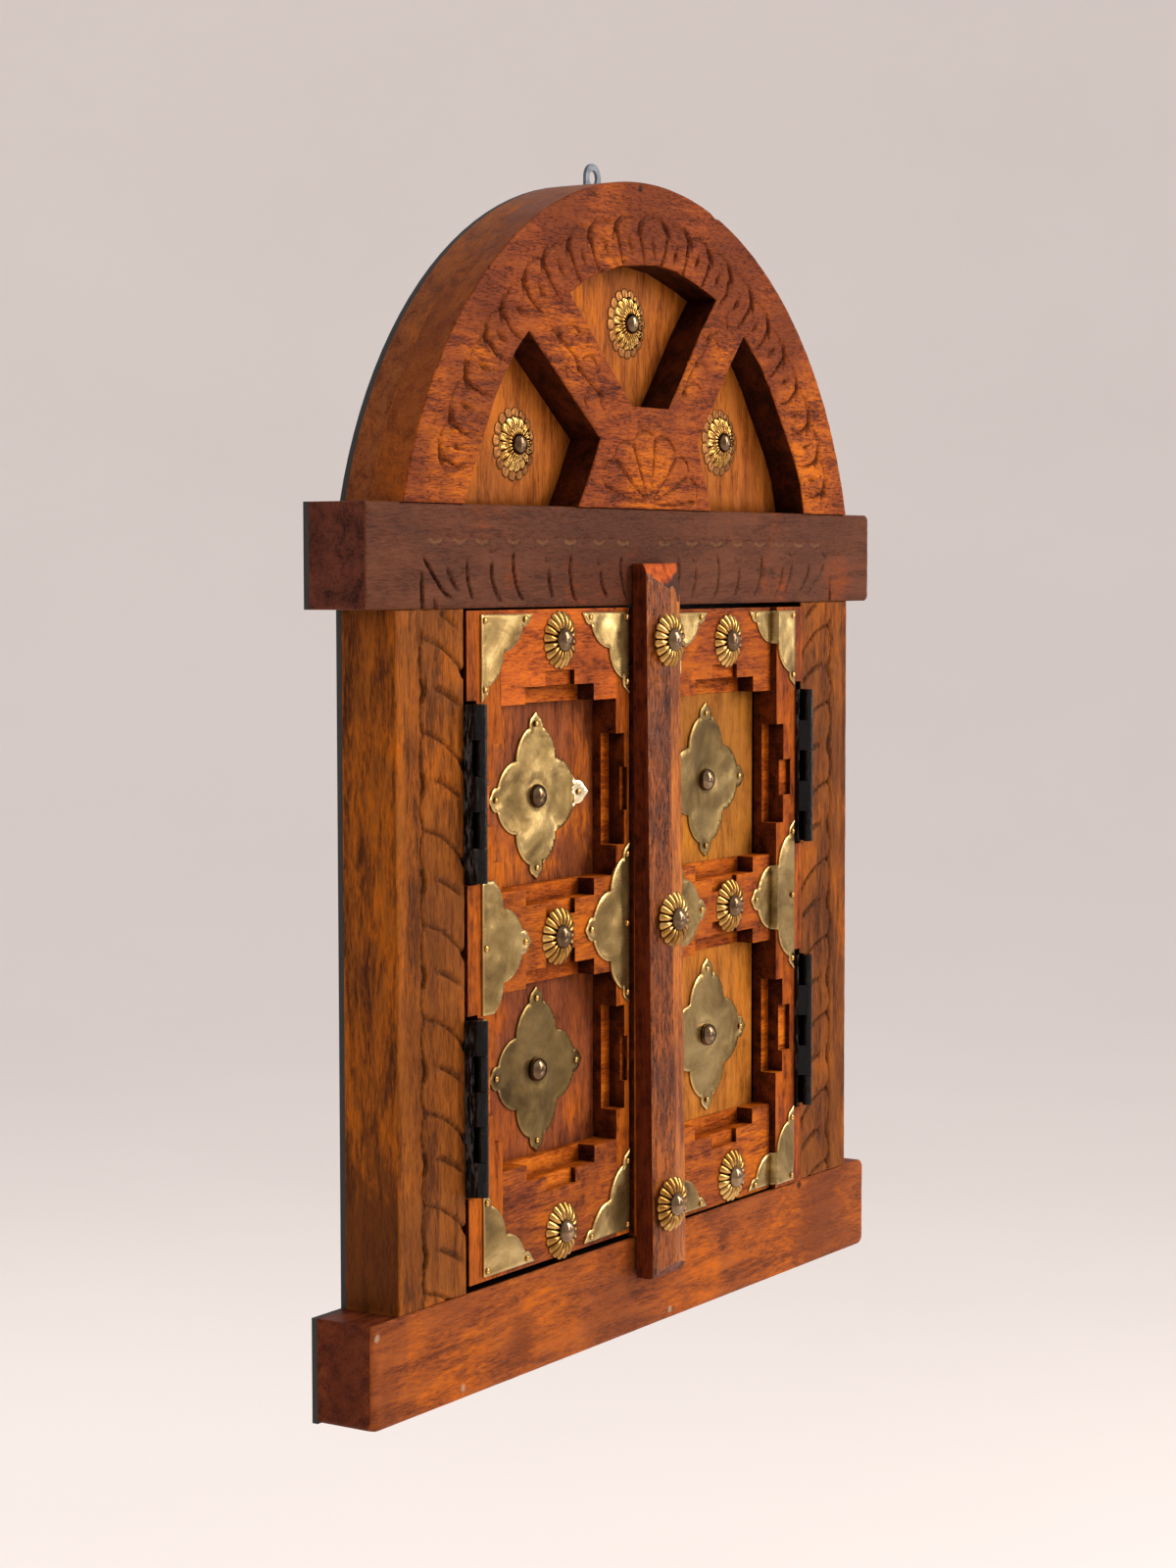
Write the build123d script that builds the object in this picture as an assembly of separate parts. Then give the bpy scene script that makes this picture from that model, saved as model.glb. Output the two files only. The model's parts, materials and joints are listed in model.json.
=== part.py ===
from build123d import *
import math
import os

# Carved wooden jharokha window: an arched fretwork head over a small two-leaf
# door in a post-and-beam frame, made to hang flat on a wall.
# Millimetres. X to the right, Y into the wall, Z up. The origin is on the
# back plane, at the middle of the top edge of the lintel.

os.makedirs("parts", exist_ok=True)

# ---------------------------------------------------------------- dimensions
BACK_T = 2.8                 # backing sheet
YB = -BACK_T                 # plane where the wood starts

LINTEL_HALF = 208.0
LINTEL_H = 42.2
LINTEL_Y = -30.3
SILL_HALF = 206.6
SILL_TOP = -323.4
SILL_BOT = -366.1
SILL_Y = -29.6
POST_OUT = 187.4
POST_IN = 141.0
POST_Y = -29.5

ARCH_R = 189.8
ARCH_CX = -1.0
ARCH_CZ = -48.0
ARCH_FRONT = -31.6
ARCH_SEAM = -15.4

LEAF_T = 18.0                # leaf thickness
GROOVE = 3.5                 # how far a panel runs into its grooves
PANEL_T = 4.5
TENON = 9.0

L_FRONT = -29.6              # front plane of the left leaf
R_FRONT = -30.9              # front plane of the right leaf's stiles
R_RAIL = -27.5               # front plane of the right leaf's rails

PLATE_T = 1.0                # brass plates
HINGE_L = 73.0
HINGE_R = 2.2                # barrel radius
HINGE_X = 137.4              # barrel axis, each side
HINGE_Y = -35.5
HINGE_T = 1.4                # hinge plate thickness
SLOT_X = 132.6               # wall of the hinge slot in the leaf edge
PIN_R = 1.0
HOLE_GAP = 0.06              # clearance round nails, pins and screws

L_HINGE_Z = (-117.5, -246.5)
R_HINGE_Z = (-120.5, -248.5)
L_SLOTS = ((-79.8, -155.2), (-208.8, -284.2))
R_SLOTS = ((-80.2, -158.2), (-209.4, -286.4))

HANGER_Z = 146.5
HANGER_HOLE_R = 3.2
HANGER_OUT_R = 6.2
HANGER_T = 1.5


# ------------------------------------------------------------------- helpers
def box(x0, x1, y0, y1, z0, z1):
    x0, x1 = min(x0, x1), max(x0, x1)
    y0, y1 = min(y0, y1), max(y0, y1)
    z0, z1 = min(z0, z1), max(z0, z1)
    return Pos((x0 + x1) / 2, (y0 + y1) / 2, (z0 + z1) / 2) * Box(x1 - x0, y1 - y0, z1 - z0)


def front_plane(y):
    # local x runs along X, local y along Z, the normal points out of the wall
    return Plane(origin=(0, y, 0), x_dir=(1, 0, 0), z_dir=(0, -1, 0))


def prism(sketch, y0, y1):
    """A sketch drawn in X and Z, as a solid between two depths."""
    lo, hi = min(y0, y1), max(y0, y1)
    return extrude(front_plane(hi) * sketch, amount=hi - lo)


def poly(points):
    return make_face(Polyline(*points, close=True))


def cyl_y(x, z, r, y0, y1):
    return Pos(x, (y0 + y1) / 2, z) * Rot(90, 0, 0) * Cylinder(r, abs(y1 - y0))


def cyl_x(y, z, r, x0, x1):
    return Pos((x0 + x1) / 2, y, z) * Rot(0, 90, 0) * Cylinder(r, abs(x1 - x0))


def cyl_z(x, y, r, z0, z1):
    return Pos(x, y, (z0 + z1) / 2) * Cylinder(r, abs(z1 - z0))


def cut(body, tools):
    tools = [t for t in tools if t is not None]
    return body.cut(*tools) if tools else body


def solids(shape):
    if isinstance(shape, (list, tuple)):
        out = []
        for s in shape:
            out += solids(s)
        return out
    return list(shape.solids())


NODES = {}


def keep(name, shape):
    parts = solids(shape)
    NODES[name] = parts[0] if len(parts) == 1 else Compound(parts)


def dome_nail(x, z, y_face, head_r, head_h, length):
    """Domed head on a thin shank. y_face is the face the head sits on."""
    ball = (head_r ** 2 + head_h ** 2) / (2 * head_h)
    cap = Pos(x, y_face - head_h + ball, z) * Sphere(ball)
    keep_box = box(x - 20, x + 20, y_face - 20, y_face, z - 20, z + 20)
    return (cap & keep_box) + cyl_y(x, z, 0.9, y_face - 0.5, y_face + length)


def nail_hole(x, z, y_face, length):
    return cyl_y(x, z, 0.9 + HOLE_GAP, y_face - 0.1, y_face + length + 0.3)


def plate_pin(x, z, y_face, length=4.6):
    """Small rivet-headed pin; y_face is the plate's front."""
    return cyl_y(x, z, 1.25, y_face - 0.75, y_face) + cyl_y(x, z, 0.6, y_face - 0.1, y_face + length)


def pin_hole(x, z, y_face, length=4.6):
    return cyl_y(x, z, 0.6 + HOLE_GAP, y_face - 0.1, y_face + length + 0.3)


# ------------------------------------------------- brass plate outlines (X, Z)
LOBE_R = 15.5
LOBE_D = 14.5
TIP = 35.8


def finial():
    return poly([(-5.2, 26.0), (-5.2, 27.9), (-5.0, 31.3), (-2.6, 33.8), (0, TIP),
                 (2.6, 33.8), (5.0, 31.3), (5.2, 27.9), (5.2, 26.0)])


def quatrefoil():
    face = Circle(6)
    for k in range(4):
        face = face + Rot(0, 0, 90 * k) * Pos(0, LOBE_D) * Circle(LOBE_R)
        face = face + Rot(0, 0, 90 * k) * finial()
    return face


QUATREFOIL = quatrefoil()


def quadrant(sx, sz, wide=1.05):
    """A quarter of the plate, spreading to sx, sz from its corner."""
    q = QUATREFOIL & (Pos(25 * sx, 25 * sz) * Rectangle(50, 50))
    return scale(q, by=(wide, 1, 1)) if wide != 1 else q


def half(sx, reach=50.0):
    return QUATREFOIL & (Pos(25 * sx, 0) * Rectangle(50, 2 * reach))


def rosette(x, z, y_face, r, petals, thick, hole_r=0.9 + HOLE_GAP):
    petal = r * math.sin(math.pi / petals) * 1.12
    ring = r - petal
    face = Circle(ring)
    for k in range(petals):
        a = 2 * math.pi * k / petals
        face = face + Pos(ring * math.cos(a), ring * math.sin(a)) * Circle(petal)
    face = face - Circle(hole_r)
    disc = prism(Pos(x, z) * face, y_face - thick * 0.55, y_face)
    dish = prism(Pos(x, z) * (Circle(r * 0.72) - Circle(hole_r)), y_face - thick, y_face - thick * 0.5)
    return disc + dish


# --------------------------------------------------------------- frame timber
back_outline = [
    (-LINTEL_HALF, 0), (-LINTEL_HALF, -LINTEL_H), (-POST_OUT, -LINTEL_H), (-POST_OUT, SILL_TOP),
    (-SILL_HALF, SILL_TOP), (-SILL_HALF, SILL_BOT), (SILL_HALF, SILL_BOT), (SILL_HALF, SILL_TOP),
    (POST_OUT, SILL_TOP), (POST_OUT, -LINTEL_H), (LINTEL_HALF, -LINTEL_H), (LINTEL_HALF, 0)]

arch_disc = Pos(ARCH_CX, ARCH_CZ) * Circle(ARCH_R)
arch_half = arch_disc & (Pos(0, 100) * Rectangle(420, 200))

left_window = [(-143.0, -1), (-142.5, 0), (-135.0, 15.0), (-130.0, 24.5), (-125.0, 34.5), (-120.0, 43.8),
               (-113.8, 52.5), (-108.8, 58.0), (-105.5, 63.0), (-95.6, 71.9), (-40.6, 29.4), (-50.0, 12.5),
               (-58.1, 0), (-58.6, -1)]
centre_window = [(-64.4, 90.0), (-50.0, 96.9), (-35.0, 101.5), (-24.0, 104.4), (5.0, 107.0), (22.5, 105.6),
                 (45.0, 99.8), (57.5, 95.6), (42.5, 78.8), (26.3, 57.5), (15.6, 44.4), (-15.0, 44.4)]
right_window = [(141.2, -1), (140.6, 0), (136.3, 15.0), (130.0, 26.3), (122.5, 36.8), (115.0, 46.8),
                (107.5, 57.5), (98.8, 67.5), (90.0, 74.5), (82.5, 80.6), (70.6, 67.5), (60.0, 54.3),
                (40.6, 29.5), (51.9, 1.9), (52.7, -1)]

arch_rosettes = [(-84.4, 26.0), (4.8, 82.0), (85.9, 32.3)]
ARCH_ROS_R = 15.6
ARCH_ROS_T = 2.6

# dowels: X, Y, Z middle, axis Z
DOWEL_R = 3.0
DOWEL_L = 24.0
dowels = []
for side in (-1, 1):
    for off in (-11.0, 11.0):
        xm = side * (POST_IN + POST_OUT) / 2 + off
        dowels.append((xm, -16.0, -LINTEL_H))
        dowels.append((xm, -16.0, SILL_TOP))
for xm in (-160.0, -10.0, 158.0):
    dowels.append((xm, -9.1, 0.0))

dowel_solids = [cyl_z(x, y, DOWEL_R, z - DOWEL_L / 2, z + DOWEL_L / 2) for x, y, z in dowels]
dowel_holes = [cyl_z(x, y, DOWEL_R + HOLE_GAP, z - DOWEL_L / 2 - 0.5, z + DOWEL_L / 2 + 0.5) for x, y, z in dowels]

# hanger on the back, let into the sheet
hanger_face = (Pos(0, HANGER_Z) * Circle(HANGER_OUT_R)
               + Pos(0, HANGER_Z - 14.5) * Rectangle(2 * HANGER_OUT_R, 29.0))
hanger_screw_z = (HANGER_Z - 11.5, HANGER_Z - 22.5)
hanger = prism(hanger_face, -HANGER_T, 0)
hanger = cut(hanger, [cyl_y(0, HANGER_Z, HANGER_HOLE_R, -3, 3)]
             + [cyl_y(0, z, 1.4 + HOLE_GAP, -3, 3) for z in hanger_screw_z]
             + [cyl_y(0, z, 2.7, -0.9, 1) for z in hanger_screw_z])
hanger_screws = [cyl_y(0, z, 2.6, -0.9, -0.1) + cyl_y(0, z, 1.4, -12.0, -0.5) for z in hanger_screw_z]
hanger_screw_holes = [cyl_y(0, z, 1.4 + HOLE_GAP, -12.4, 0.5) for z in hanger_screw_z]
hanger_pocket = box(-HANGER_OUT_R - 0.3, HANGER_OUT_R + 0.3, -HANGER_T - 0.05, 1, HANGER_Z - 29.4, 160)

back_sheet = prism(poly(back_outline), YB, 0) + prism(arch_half, YB, 0)
back_sheet = cut(back_sheet, [hanger_pocket] + hanger_screw_holes)
keep("back_sheet", back_sheet)
keep("wall_hanger", hanger)
keep("wall_hanger_screws", hanger_screws)
keep("frame_dowels", dowel_solids)

arch_nails = []
arch_nail_holes = []
arch_ros = []
for x, z in arch_rosettes:
    arch_ros.append(rosette(x, z, ARCH_SEAM, ARCH_ROS_R, 12, ARCH_ROS_T))
    arch_nails.append(dome_nail(x, z, ARCH_SEAM - ARCH_ROS_T, 4.7, 3.4, 9.0))
    arch_nail_holes.append(nail_hole(x, z, ARCH_SEAM - ARCH_ROS_T, 9.0))

arch_back = prism(arch_half, ARCH_SEAM, YB)
keep("arch_back_layer", cut(arch_back, dowel_holes[-3:] + hanger_screw_holes + arch_nail_holes))
fret = prism(arch_half, ARCH_FRONT, ARCH_SEAM)
fret = cut(fret, [prism(poly(w), -40, -10) for w in (left_window, centre_window, right_window)])
keep("arch_fretwork", fret)
keep("arch_rosettes", arch_ros)
keep("arch_dome_nails", arch_nails)

lintel = box(-LINTEL_HALF, LINTEL_HALF, LINTEL_Y, YB, -LINTEL_H, 0)
lintel = fillet(lintel.edges().filter_by(Axis.Y).sort_by(Axis.X)[-2:], 3.0)
keep("lintel", cut(lintel, dowel_holes))
sill = box(-SILL_HALF, SILL_HALF, SILL_Y, YB, SILL_BOT, SILL_TOP)
sill = fillet(sill.edges().filter_by(Axis.Y).sort_by(Axis.X)[-2:], 4.0)
# a chip is missing from the lower left corner
chip = extrude(Plane(origin=(-SILL_HALF + 3.2, SILL_Y, SILL_BOT + 2.0), z_dir=(-1.0, -0.45, -0.75)) * Rectangle(60, 60), amount=30)
sill = cut(sill, [chip])
keep("sill", cut(sill, dowel_holes))


# --------------------------------------------------------------------- hinges
def hinge(side, zc, leaf_front):
    """Post plate, leaf plate and pin of one butt hinge. side is -1 left, 1 right."""
    z0, z1 = zc - HINGE_L / 2, zc + HINGE_L / 2
    step = HINGE_L / 5
    ax, ay = side * HINGE_X, HINGE_Y
    y_in = -14.0
    web_y = -32.6
    # closed plates stand in the gap, parallel to each other
    post_plate = box(side * (POST_IN - HINGE_T), side * POST_IN, web_y, y_in, z0, z1)
    leaf_plate = box(side * SLOT_X, side * (SLOT_X + HINGE_T), web_y, y_in, z0, z1)

    def web(points):
        pts = [(side * px, py) for px, py in points]
        return pts

    post_web = [(POST_IN, web_y + 0.4), (POST_IN, web_y - 1.0), (HINGE_X + 2.05, ay - 0.6), (HINGE_X + 1.3, ay + 0.6),
                (POST_IN - HINGE_T, web_y + 0.4)]
    leaf_web = [(SLOT_X, web_y + 0.4), (SLOT_X, web_y - 0.6), (HINGE_X - 2.05, ay - 0.6), (HINGE_X - 1.3, ay + 0.6),
                (SLOT_X + HINGE_T, web_y + 0.4)]
    gap = 0.12
    for k in range(5):
        a, b = z0 + k * step + (gap if k else 0), z0 + (k + 1) * step - (gap if k < 4 else 0)
        knuckle = cyl_z(ax, ay, HINGE_R, a, b)
        pts = web(post_web if k % 2 == 0 else leaf_web)
        flange = extrude(Pos(0, 0, a) * poly(pts), amount=b - a)
        if flange.bounding_box().min.Z < a - 0.01:
            flange = Pos(0, 0, b - a) * flange
        if k % 2 == 0:
            post_plate = post_plate + knuckle + flange
        else:
            leaf_plate = leaf_plate + knuckle + flange
    # the opposite plate is cut back to clear each knuckle
    post_bore = cyl_z(ax, ay, PIN_R + 0.02, z0 - 1, z1 + 1)
    leaf_bore = cyl_z(ax, ay, PIN_R + 0.06, z0 - 1, z1 + 1)
    sy = -19.0
    screws_z = (zc - 27.0, zc + 27.0)
    post_cut = [post_bore]
    leaf_cut = [leaf_bore]
    post_screws, leaf_screws, post_holes, leaf_holes = [], [], [], []
    for z in screws_z:
        inner_post = side * (POST_IN - HINGE_T)
        post_cut.append(cyl_x(sy, z, 1.1 + HOLE_GAP, side * (POST_IN - 5), side * (POST_IN + 2)))
        post_cut.append(cyl_x(sy, z, 2.3, inner_post - side * 1.0, inner_post + side * 0.85))
        post_screws.append(cyl_x(sy, z, 2.2, inner_post + side * 0.05, inner_post + side * 0.85)
                           + cyl_x(sy, z, 1.1, inner_post + side * 0.4, side * (POST_IN + 9.0)))
        post_holes.append(cyl_x(sy, z, 1.1 + HOLE_GAP, side * (POST_IN - 1), side * (POST_IN + 9.4)))
        inner_leaf = side * (SLOT_X + HINGE_T)
        leaf_cut.append(cyl_x(sy, z, 1.1 + HOLE_GAP, side * (SLOT_X - 2), side * (SLOT_X + 5)))
        leaf_cut.append(cyl_x(sy, z, 2.3, inner_leaf + side * 1.0, inner_leaf - side * 0.85))
        leaf_screws.append(cyl_x(sy, z, 2.2, inner_leaf - side * 0.05, inner_leaf - side * 0.85)
                           + cyl_x(sy, z, 1.1, inner_leaf - side * 0.4, side * (SLOT_X - 9.0)))
        leaf_holes.append(cyl_x(sy, z, 1.1 + HOLE_GAP, side * (SLOT_X + 1), side * (SLOT_X - 9.4)))
    pin = cyl_z(ax, ay, PIN_R, z0, z1)
    return dict(post=cut(post_plate, post_cut), leaf=cut(leaf_plate, leaf_cut), pin=pin,
                post_screws=post_screws, leaf_screws=leaf_screws, post_holes=post_holes, leaf_holes=leaf_holes)


hinges = {}
for name, side, zs, front in (("left", -1, L_HINGE_Z, L_FRONT), ("right", 1, R_HINGE_Z, R_FRONT)):
    for where, zc in zip(("upper", "lower"), zs):
        hinges[name, where] = hinge(side, zc, front)

post_screws = []
for side, name in ((-1, "left"), (1, "right")):
    holes = hinges[name, "upper"]["post_holes"] + hinges[name, "lower"]["post_holes"]
    post = box(side * POST_IN, side * POST_OUT, POST_Y, YB, SILL_TOP, -LINTEL_H)
    keep(name + "_post", cut(post, holes + dowel_holes))
    for where in ("upper", "lower"):
        h = hinges[name, where]
        keep(f"{name}_{where}_hinge_post_plate", h["post"])
        keep(f"{name}_{where}_hinge_leaf_plate", h["leaf"])
        keep(f"{name}_{where}_hinge_pin", h["pin"])
        post_screws += h["post_screws"]
    keep(f"{name}_hinge_leaf_screws", hinges[name, "upper"]["leaf_screws"] + hinges[name, "lower"]["leaf_screws"])
keep("hinge_post_screws", post_screws)


# --------------------------------------------------------------------- leaves
NOTCH1_H, NOTCH1_D = 7.2, 8.4       # first step of the stepped recess: size and depth
NOTCH2_H, NOTCH2_D = 6.4, 2.3       # second step
NOTCH1_L, NOTCH2_L = 53.0, 22.5     # lengths on a rail
# Z of the steps on the stiles, one pair for each panel
L_STEPS = (((-98.0, -147.0), (-113.0, -132.0)), ((-218.0, -264.0), (-232.0, -252.0)))
R_STEPS = (((-100.0, -147.0), (-117.0, -134.0)), ((-222.0, -267.0), (-235.0, -257.0)))


def rail_notch(xc, z_edge, up, y_front):
    """Stepped recess in a rail's edge; up is 1 when it is cut upwards."""
    a = box(xc - NOTCH1_L / 2, xc + NOTCH1_L / 2, y_front - 5, y_front + NOTCH1_D,
            z_edge - up * 1, z_edge + up * NOTCH1_H)
    b = box(xc - NOTCH2_L / 2, xc + NOTCH2_L / 2, y_front - 5, y_front + NOTCH2_D,
            z_edge, z_edge + up * (NOTCH1_H + NOTCH2_H))
    return [a, b]


def stile_notch(x_edge, x_first, x_second, steps, y_front):
    (a0, a1), (b0, b1) = steps
    out = 1 if x_first > x_edge else -1
    a = box(x_edge - out * 1, x_first, y_front - 5, y_front + NOTCH1_D - 0.4, a1, a0)
    b = box(x_edge, x_second, y_front - 5, y_front + NOTCH2_D, b1, b0)
    return [a, b]


def stepped_plate(face, y_high, y_low, x_step, high_side):
    """A plate that lies on the stile, then steps down onto the rail at x_step."""
    far = 400
    high = prism(face & (Pos(x_step + high_side * far / 2, -180) * Rectangle(far, 800)), y_high - PLATE_T, y_high)
    low = prism(face & (Pos(x_step - high_side * far / 2, -180) * Rectangle(far, 800)), y_low - PLATE_T, y_low)
    wall = prism(face & (Pos(x_step - high_side * PLATE_T / 2, -180) * Rectangle(PLATE_T, 800)), y_high - PLATE_T, y_low)
    return high + low + wall


def build_leaf(name, side, x_out, x_in, x_in_back, open_out, open_in, z_top, z_bot, rails, front, rail_front,
               short_panel, notch_x, steps, out_steps, in_steps, slots):
    """
    side -1 left, 1 right. x_out is the hinge edge, x_in the meeting edge at the
    front and x_in_back at the back, open_out and open_in the panel openings' sides,
    rails the Z of each rail's edges from the top down.
    """
    back = front + LEAF_T
    pf = front + 12.4                      # panel face
    pb = pf + PANEL_T
    (t0, t1), (m0, m1), (b0, b1) = rails
    oc = notch_x
    s_out = 1 if x_out > open_out else -1
    s_in = -s_out
    openings = [(t1, m0), (m1, b0)]

    # stiles
    outer = box(x_out, open_out, front, back, z_bot, z_top)
    edge = [(x_in, front), (x_in_back, back), (open_in, back), (open_in, front)]
    inner = extrude(Pos(0, 0, z_bot) * poly(edge), amount=z_top - z_bot)
    if inner.bounding_box().min.Z < z_bot - 0.01:
        inner = Pos(0, 0, z_top - z_bot) * inner
    cut_outer, cut_inner = [], []
    for (hi, lo), step in zip(openings, steps):
        cut_outer += stile_notch(open_out, out_steps[0], out_steps[1], step, front)
        cut_inner += stile_notch(open_in, in_steps[0], in_steps[1], step, front)
        # grooves for the panels
        cut_outer.append(box(open_out - s_out, open_out + s_out * (GROOVE + 0.3), pf - 0.02, pb + 0.02,
                             lo - GROOVE - 0.3, hi + GROOVE + 0.3))
        cut_inner.append(box(open_in - s_in, open_in + s_in * (GROOVE + 0.3), pf - 0.02, pb + 0.02,
                             lo - GROOVE - 0.3, hi + GROOVE + 0.3))
    for where, (s_hi, s_lo) in zip(("upper", "lower"), slots):
        cut_outer.append(box(side * SLOT_X, x_out + side * 2, front - 5, back + 5, s_lo, s_hi))
        cut_outer += hinges[name, where]["leaf_holes"]

    # rails with their tenons
    ty0, ty1 = front + 6.0, front + 11.0
    rail_shapes, tenon_boxes_out, tenon_boxes_in = {}, [], []
    for rn, (hi, lo) in zip(("top", "middle", "bottom"), rails):
        body = box(open_out, open_in, rail_front, back, lo, hi)
        h0, h1 = lo + 8.0, hi - 8.0
        body = body + box(open_out, open_out + s_out * TENON, ty0, ty1, h0, h1)
        body = body + box(open_in, open_in + s_in * TENON, ty0, ty1, h0, h1)
        tenon_boxes_out.append(box(open_out - s_out * 0.5, open_out + s_out * (TENON + 0.4), ty0 - 0.02, ty1 + 0.02,
                                   h0 - 0.02, h1 + 0.02))
        tenon_boxes_in.append(box(open_in - s_in * 0.5, open_in + s_in * (TENON + 0.4), ty0 - 0.02, ty1 + 0.02,
                                  h0 - 0.02, h1 + 0.02))
        rail_shapes[rn] = body
    cut_outer += tenon_boxes_out
    cut_inner += tenon_boxes_in
    rail_cut = {"top": [], "middle": [], "bottom": []}
    rail_cut["top"] += rail_notch(oc, t1, 1, rail_front)
    rail_cut["middle"] += rail_notch(oc, m0, -1, rail_front) + rail_notch(oc, m1, 1, rail_front)
    rail_cut["bottom"] += rail_notch(oc, b0, -1, rail_front)
    gx0, gx1 = min(open_out, open_in), max(open_out, open_in)
    rail_cut["top"].append(box(gx0 - 1, gx1 + 1, pf - 0.02, pb + 0.02, t1 - 1, t1 + GROOVE + 0.3))
    rail_cut["middle"].append(box(gx0 - 1, gx1 + 1, pf - 0.02, pb + 0.02, m0 - GROOVE - 0.3, m0 + 1))
    rail_cut["middle"].append(box(gx0 - 1, gx1 + 1, pf - 0.02, pb + 0.02, m1 - 1, m1 + GROOVE + 0.3))
    rail_cut["bottom"].append(box(gx0 - 1, gx1 + 1, pf - 0.02, pb + 0.02, b0 - GROOVE - 0.3, b0 + 1))

    # panels
    panels = {}
    for pn, (hi, lo) in zip(("upper", "lower"), openings):
        px_out = open_out + s_out * GROOVE if not short_panel else open_out - s_out * 1.8
        panels[pn] = box(px_out, open_in + s_in * GROOVE, pf, pb, lo - GROOVE, hi + GROOVE)
    return dict(outer=outer, inner=inner, cut_outer=cut_outer, cut_inner=cut_inner, rails=rail_shapes,
                rail_cut=rail_cut, panels=panels, panel_cut={"upper": [], "lower": []}, pf=pf, front=front,
                rail_front=rail_front, openings=openings, oc=oc)


L_RAILS = ((-43.2, -82.7), (-160.0, -202.0), (-277.0, -320.4))
R_RAILS = ((-44.5, -84.0), (-162.0, -203.0), (-282.0, -322.7))

left = build_leaf("left", -1, -139.4, -15.6, -18.2, -114.9, -26.1, -43.2, -320.4, L_RAILS, L_FRONT, L_FRONT,
                  False, -70.5, L_STEPS, (-120.4, -125.4), (-19.5, -17.2), L_SLOTS)
right = build_leaf("right", 1, 139.0, -13.2, -12.0, 114.5, 25.5, -44.5, -322.7, R_RAILS, R_FRONT, R_RAIL,
                   True, 71.5, R_STEPS, (121.0, 128.0), (18.5, 14.6), R_SLOTS)


def fit_leaf(name, leaf, quatre, corners, halves, rosettes, extra_nails=()):
    """Brass plates, rosettes, nails and pins, with their holes in the wood."""
    front, rail_front, pf = leaf["front"], leaf["rail_front"], leaf["pf"]
    nails, pins, holes_front = [], [], []
    # rosettes on the rails
    ros = []
    for rail, (x, z) in zip(("top", "middle", "bottom"), rosettes):
        ros.append(rosette(x, z, rail_front, 12.2, 18, 2.2))
        nails.append(dome_nail(x, z, rail_front - 2.2, 4.7, 3.4, 9.0))
        leaf["rail_cut"][rail].append(nail_hole(x, z, rail_front - 2.2, 9.0))
    keep(f"{name}_leaf_rosettes", ros)
    # quatrefoils on the panels
    for pn, (x, z) in zip(("upper", "lower"), quatre):
        face = Pos(x, z) * QUATREFOIL
        plate = prism(face, pf - PLATE_T, pf)
        spots = [(x, z + 30.8), (x, z - 30.8), (x + 30.8, z), (x - 30.8, z)]
        tools = [nail_hole(x, z, pf - PLATE_T, 4.0)] + [pin_hole(px, pz, pf - PLATE_T, 3.0) for px, pz in spots]
        keep(f"{name}_leaf_{pn}_quatrefoil", cut(plate, tools))
        nails.append(dome_nail(x, z, pf - PLATE_T, 5.2, 3.6, 4.0))
        pins += [plate_pin(px, pz, pf - PLATE_T, 3.0) for px, pz in spots]
        leaf["panel_cut"][pn] += tools
    # corner and half plates
    corner_solids = []

    def lay(face, x_step, high_side, stepped):
        if stepped:
            return stepped_plate(face, front, rail_front, x_step, high_side)
        return prism(face, front - PLATE_T, front)

    for (x, z, sx, sz, x_step, high_side) in corners:
        face = Pos(x, z) * quadrant(sx, sz)
        plate = lay(face, x_step, high_side, rail_front != front)
        spots = [(x + sx * 2.3, z + sz * 2.3), (x + sx * 31.8, z + sz * 2.1), (x + sx * 2.1, z + sz * 30.6)]
        tools = []
        for px, pz in spots:
            on_low = rail_front != front and (px - x_step) * high_side < 0
            yf = (rail_front if on_low else front) - PLATE_T
            tools.append(pin_hole(px, pz, yf))
            pins.append(plate_pin(px, pz, yf))
        corner_solids.append(cut(plate, tools))
        holes_front += tools
    keep(f"{name}_leaf_corner_plates", corner_solids)
    for (label, x, z, sx, reach, x_step, high_side) in halves:
        face = Pos(x, z) * half(sx, reach)
        plate = lay(face, x_step, high_side, rail_front != front)
        spots = [(x + sx * 2.3, z), (x + sx * 31.2, z)]
        if reach > 30:
            spots += [(x + sx * 2.1, z + 30.6), (x + sx * 2.1, z - 30.6)]
        tools = []
        for px, pz in spots:
            on_low = rail_front != front and (px - x_step) * high_side < 0
            yf = (rail_front if on_low else front) - PLATE_T
            tools.append(pin_hole(px, pz, yf))
            pins.append(plate_pin(px, pz, yf))
        keep(f"{name}_leaf_{label}_half_plate", cut(plate, tools))
        holes_front += tools
    nails += list(extra_nails)
    keep(f"{name}_leaf_dome_nails", nails)
    keep(f"{name}_leaf_plate_pins", pins)
    keep(f"{name}_leaf_outer_stile", cut(leaf["outer"], leaf["cut_outer"] + holes_front))
    keep(f"{name}_leaf_meeting_stile", cut(leaf["inner"], leaf["cut_inner"] + holes_front + leaf.get("extra_cut", [])))
    for rn in ("top", "middle", "bottom"):
        keep(f"{name}_leaf_{rn}_rail", cut(leaf["rails"][rn], leaf["rail_cut"][rn] + holes_front))
    for pn in ("upper", "lower"):
        keep(f"{name}_leaf_{pn}_panel", cut(leaf["panels"][pn], leaf["panel_cut"][pn]))


# Left leaf
fit_leaf(
    "left", left,
    quatre=[(-71.5, -123.0), (-72.0, -240.6)],
    corners=[(-129.9, -45.0, 1, -1, 0, 1), (-16.3, -45.0, -1, -1, 0, 1),
             (-129.9, -318.5, 1, 1, 0, 1), (-16.3, -318.5, -1, 1, 0, 1)],
    halves=[("hinge_side", -129.9, -182.0, 1, 27.6, 0, 1), ("meeting_side", -16.3, -182.0, -1, 50.0, 0, 1)],
    rosettes=[(-71.0, -56.3), (-72.7, -182.3), (-70.5, -309.5)])

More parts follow.
